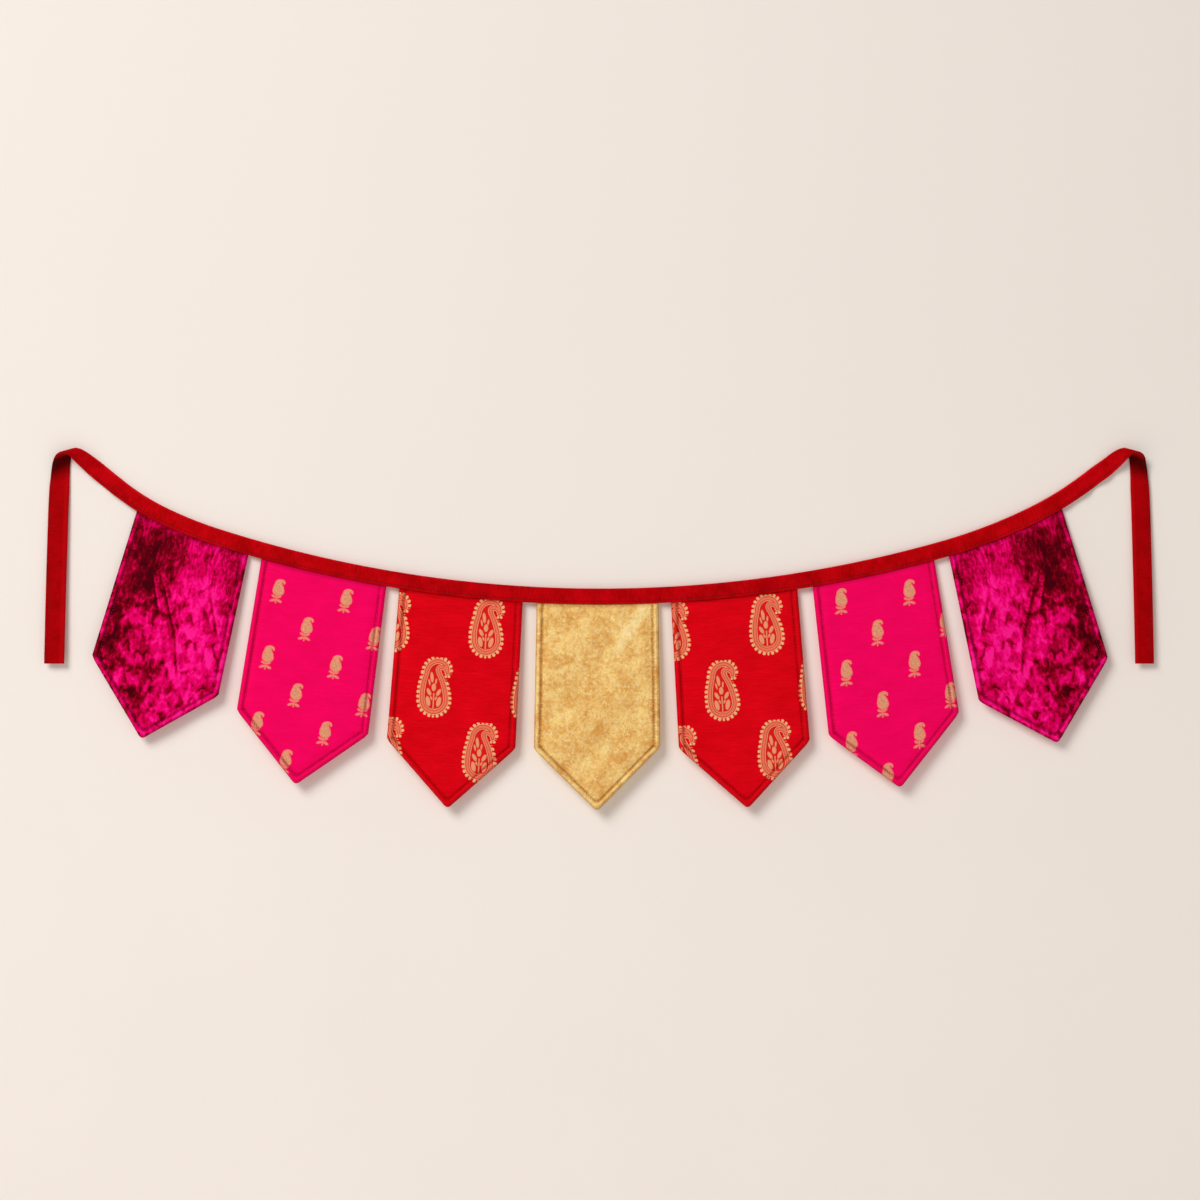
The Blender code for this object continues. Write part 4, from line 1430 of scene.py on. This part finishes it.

# %% [markdown]
# ## The tape's cloth and the threads
#
# The binding is a plain crimson cloth with a faint rib across it. A dark line of painted shade
# follows its edge stitching, and the fold on top gets a painted highlight. The ties get painted
# shade, as they hang behind, and a painted shadow is darkest where each one goes behind its own
# fold. The threads match each cloth. A thread is two strands twisted together, and a fine slanting
# wave over the whole piece stands for them, its darker half painted shade between the strands.

# %% Tape and threads
TIE_DROP = 212.0
RIB_PITCH = 0.9
TWIST_PITCH = 0.0008
CRIMSON = (opaque(150, 0, 3), opaque(194, 2, 14))
SEAM_SHADE_CRIMSON = opaque(96, 0, 0)
FOLD_HIGHLIGHT_CRIMSON = opaque(226, 16, 26)
TIE_SHADE_CRIMSON = opaque(138, 0, 2)
FOLD_SHADOW_CRIMSON = opaque(34, 0, 0)


def tape_cloth():
    finish = Finish("crimson binding", specular_ior_level=0.3, specular_tint=opaque(255, 50, 50))
    place, x, _ = finish.cloth()
    seam, along = finish.value("seam"), finish.value("along")
    slub = finish.noise(place, 1.2, 3.0, 0.6, 0.3, stretch=(1.0, 7.0))
    patchy = finish.noise(place, 22.0, 3.0, 0.6)
    rib = x.wave(RIB_PITCH)
    tone = slub * 0.45 + patchy * 0.55
    ground = finish.mix(tone.rise(0.34, 0.66), *CRIMSON)
    # painted shade along the edge stitching
    line = (seam - SEAM_RISE).abs().rise(1.1, 0.2)
    ground = finish.mix(line * 0.45, ground, SEAM_SHADE_CRIMSON)
    # painted highlight on the fold at the top
    fold = seam.rise(15.0, 16.6)
    ground = finish.mix(fold * 0.4, ground, FOLD_HIGHLIGHT_CRIMSON)
    # painted shade on the ties, and a painted shadow where each goes behind its own fold
    from_end = along.lesser(float(tape_run[-1]) - along)
    hanging = from_end.rise(TIE_DROP, TIE_DROP - 16.0)
    ground = finish.mix(hanging * 0.5, ground, TIE_SHADE_CRIMSON)
    fold_shadow = (from_end.rise(TIE_DROP - 26.0, TIE_DROP - 6.0)
              * from_end.rise(TIE_DROP + 10.0, TIE_DROP))
    ground = finish.mix(fold_shadow * 0.9, ground, FOLD_SHADOW_CRIMSON)
    finish.connect("Base Color", ground)
    finish.connect("Roughness", 0.66 - slub * 0.1)
    pull = x.wave(STITCH_PITCH) * (seam - SEAM_RISE).abs().rise(2.0, 0.4)
    finish.connect("Normal", finish.bump(rib * 0.5 + slub, 0.08, finish.bump(pull, 0.2)))
    return finish.material


def thread(name, shade):
    """Thread whose twist is a slanting wave in the piece's own coordinates; the wave's darker half
    is painted shade between the strands.
    """
    finish = Finish(name, roughness=0.55, specular_ior_level=0.3)
    place = finish.wire("TexCoord", output="Object")
    parts = finish.node("SeparateXYZ", None, {0: place})
    slanting = Wire(finish, parts.outputs[0]) + Wire(finish, parts.outputs[2])
    strand = slanting.wave(TWIST_PITCH)
    # the darker half of the wave is painted shade between the strands
    dark = tuple(0.7 * v for v in colour(*shade))
    finish.connect("Base Color", finish.mix(strand, (*dark, 1.0), opaque(*shade)))
    finish.connect("Normal", finish.bump(strand, 0.08))
    return finish.material


CLOTHS = {"velvet": VELVET, "pink_silk": PINK, "red_silk": RED, "gold_brocade": GOLD}
THREADS = {
    "velvet": thread("magenta thread", (186, 0, 70)),
    "pink_silk": thread("pink thread", (226, 2, 86)),
    "red_silk": thread("red thread", (196, 2, 16)),
    "gold_brocade": thread("gold thread", (206, 156, 78)),
    "tape_crimson": thread("crimson thread", (140, 0, 8)),
}
for name, shape in shapes.items():
    cloths[name].data.materials.append(CLOTHS[shape.panel.slot])
    threads[name][0].data.materials.append(THREADS[shape.panel.slot])
tape.data.materials.append(tape_cloth())
tape_thread.data.materials.append(THREADS["tape_crimson"])
print(len(CLOTHS) + 1, "cloths and", len(THREADS), "threads are on the pieces")

# %% [markdown]
# ## Wall, floor and light
#
# The hanging is shown flat against a pale wall, so that its soft shadow falls just beside it. The
# wall is only a stage. It leans a little, so that the shadows widen downwards. It is seen from the
# front alone: from behind it is clear, so that the back of the hanging can be looked at too, and it
# takes no part in lighting the cloth. A large soft lamp stands to the upper left. The pale
# surroundings and two weak lamps, one in front and one behind, fill the rest.

# %% Wall and floor
WALL_Y = 6.0
WALL_LEAN = 0.026
FLOOR_Z = -0.95
ROOM = 3.0
MOTTLE = 0.985
TOP_SHADE = 0.9
WALL_PAINT = (243, 236, 230)
FLOOR_PAINT = (232, 226, 220)


def stage_plane(name, corners, shade, one_sided):
    """A rectangle from its four corners, with a plain mottled paint and painted shade that darkens
    it upwards, against the lamp's stronger light there. With one_sided it is clear from behind and
    casts no light or shadow of its own."""
    plane = add_mesh(name, np.array(corners, dtype=float), np.array([[0, 1, 2, 3]]))
    finish = Finish(name + " paint", roughness=0.9, specular_ior_level=0.1)
    place = finish.wire("TexCoord", output="Object")
    cloud = finish.wire("TexNoise", None, {"Vector": place, "Scale": 5.0, "Detail": 4.0})
    parts = finish.node("SeparateXYZ", None, {0: place})
    height = Wire(finish, parts.outputs[2]).rise(-0.9, 0.9)
    low = tuple(MOTTLE * v for v in colour(*shade))
    paint = finish.mix(cloud.rise(0.3, 0.7), (*low, 1.0), opaque(*shade))
    # painted shade that darkens the paint upwards, against the lamp's stronger light at the top
    top = tuple(TOP_SHADE * v for v in colour(*shade))
    finish.connect("Base Color", finish.mix(height, paint, (*top, 1.0)))
    if one_sided:
        behind = finish.wire("NewGeometry", output="Backfacing")
        clear = finish.node("BsdfTransparent")
        chosen = finish.node("MixShader", None, {0: behind})
        finish.tree.links.new(finish.shader.outputs[0], chosen.inputs[1])
        finish.tree.links.new(clear.outputs[0], chosen.inputs[2])
        finish.tree.links.new(chosen.outputs[0], finish.tree.nodes["Material Output"].inputs[0])
        plane.visible_shadow = False
        plane.visible_diffuse = False
        plane.visible_glossy = False
        plane.visible_transmission = False
    plane.data.materials.append(finish.material)
    return plane


low_y = WALL_Y * MM - WALL_LEAN * FLOOR_Z
high_y = WALL_Y * MM - WALL_LEAN * ROOM
stage_plane("wall", [(-ROOM, low_y, FLOOR_Z), (ROOM, low_y, FLOOR_Z), (ROOM, high_y, ROOM),
                     (-ROOM, high_y, ROOM)], WALL_PAINT, True)
stage_plane("floor", [(-ROOM, -ROOM, FLOOR_Z), (ROOM, -ROOM, FLOOR_Z), (ROOM, ROOM, FLOOR_Z),
                      (-ROOM, ROOM, FLOOR_Z)], FLOOR_PAINT, False)
print("wall", WALL_Y, "mm behind the tape")

# %% [markdown]
# The camera looks straight at the middle through a long lens, from far enough away that one
# pixel of a picture 1200 wide is just over a millimetre.

# %% Camera and lamps
PICTURE_WIDTH = 1.236
LENS = 100.0
SENSOR = 36.0
AIM = (0.0, 0.0, -0.0117)
MIDDLE = (0.0, 0.0, 0.0)
WINDOW_LIGHT = (1.0, 0.98, 0.955)
ROOM_LIGHT = (1.0, 0.98, 0.96)
SKY_LIGHT = (1.0, 0.975, 0.95, 1.0)
SKY_STRENGTH = 0.38


def lamp(name, place, aim, size, power, tint):
    """A square area lamp that faces the point it is aimed at."""
    light = bpy.data.lights.new(name, "AREA")
    light.size = size
    light.energy = power
    light.color = tint
    made = bpy.data.objects.new(name, light)
    bpy.context.scene.collection.objects.link(made)
    made.location = place
    back = np.array(place) - np.array(aim)
    made.rotation_mode = "QUATERNION"
    made.rotation_quaternion = Vector(back).to_track_quat("Z", "Y")
    return made


lens = bpy.data.cameras.new("camera")
lens.lens = LENS
lens.sensor_width = SENSOR
camera = bpy.data.objects.new("camera", lens)
bpy.context.scene.collection.objects.link(camera)
camera.location = (AIM[0], -PICTURE_WIDTH * LENS / SENSOR, AIM[2])
camera.rotation_euler = (math.radians(90), 0.0, 0.0)
bpy.context.scene.camera = camera

lamp("window", (-2.5, -3.8, 2.8), MIDDLE, size=2.4, power=205.0, tint=WINDOW_LIGHT)
lamp("fill", (1.5, -2.8, -0.5), MIDDLE, size=1.6, power=6.0, tint=ROOM_LIGHT)
lamp("behind", (0.6, 2.2, 1.0), MIDDLE, size=1.6, power=26.0, tint=ROOM_LIGHT)

world = bpy.data.worlds.new("pale room")
world.use_nodes = True
sky = world.node_tree.nodes["Background"]
sky.inputs["Color"].default_value = SKY_LIGHT
sky.inputs["Strength"].default_value = SKY_STRENGTH
bpy.context.scene.world = world
bpy.context.scene.view_settings.view_transform = "Standard"
print("camera", round(-camera.location.y, 2), "m away")
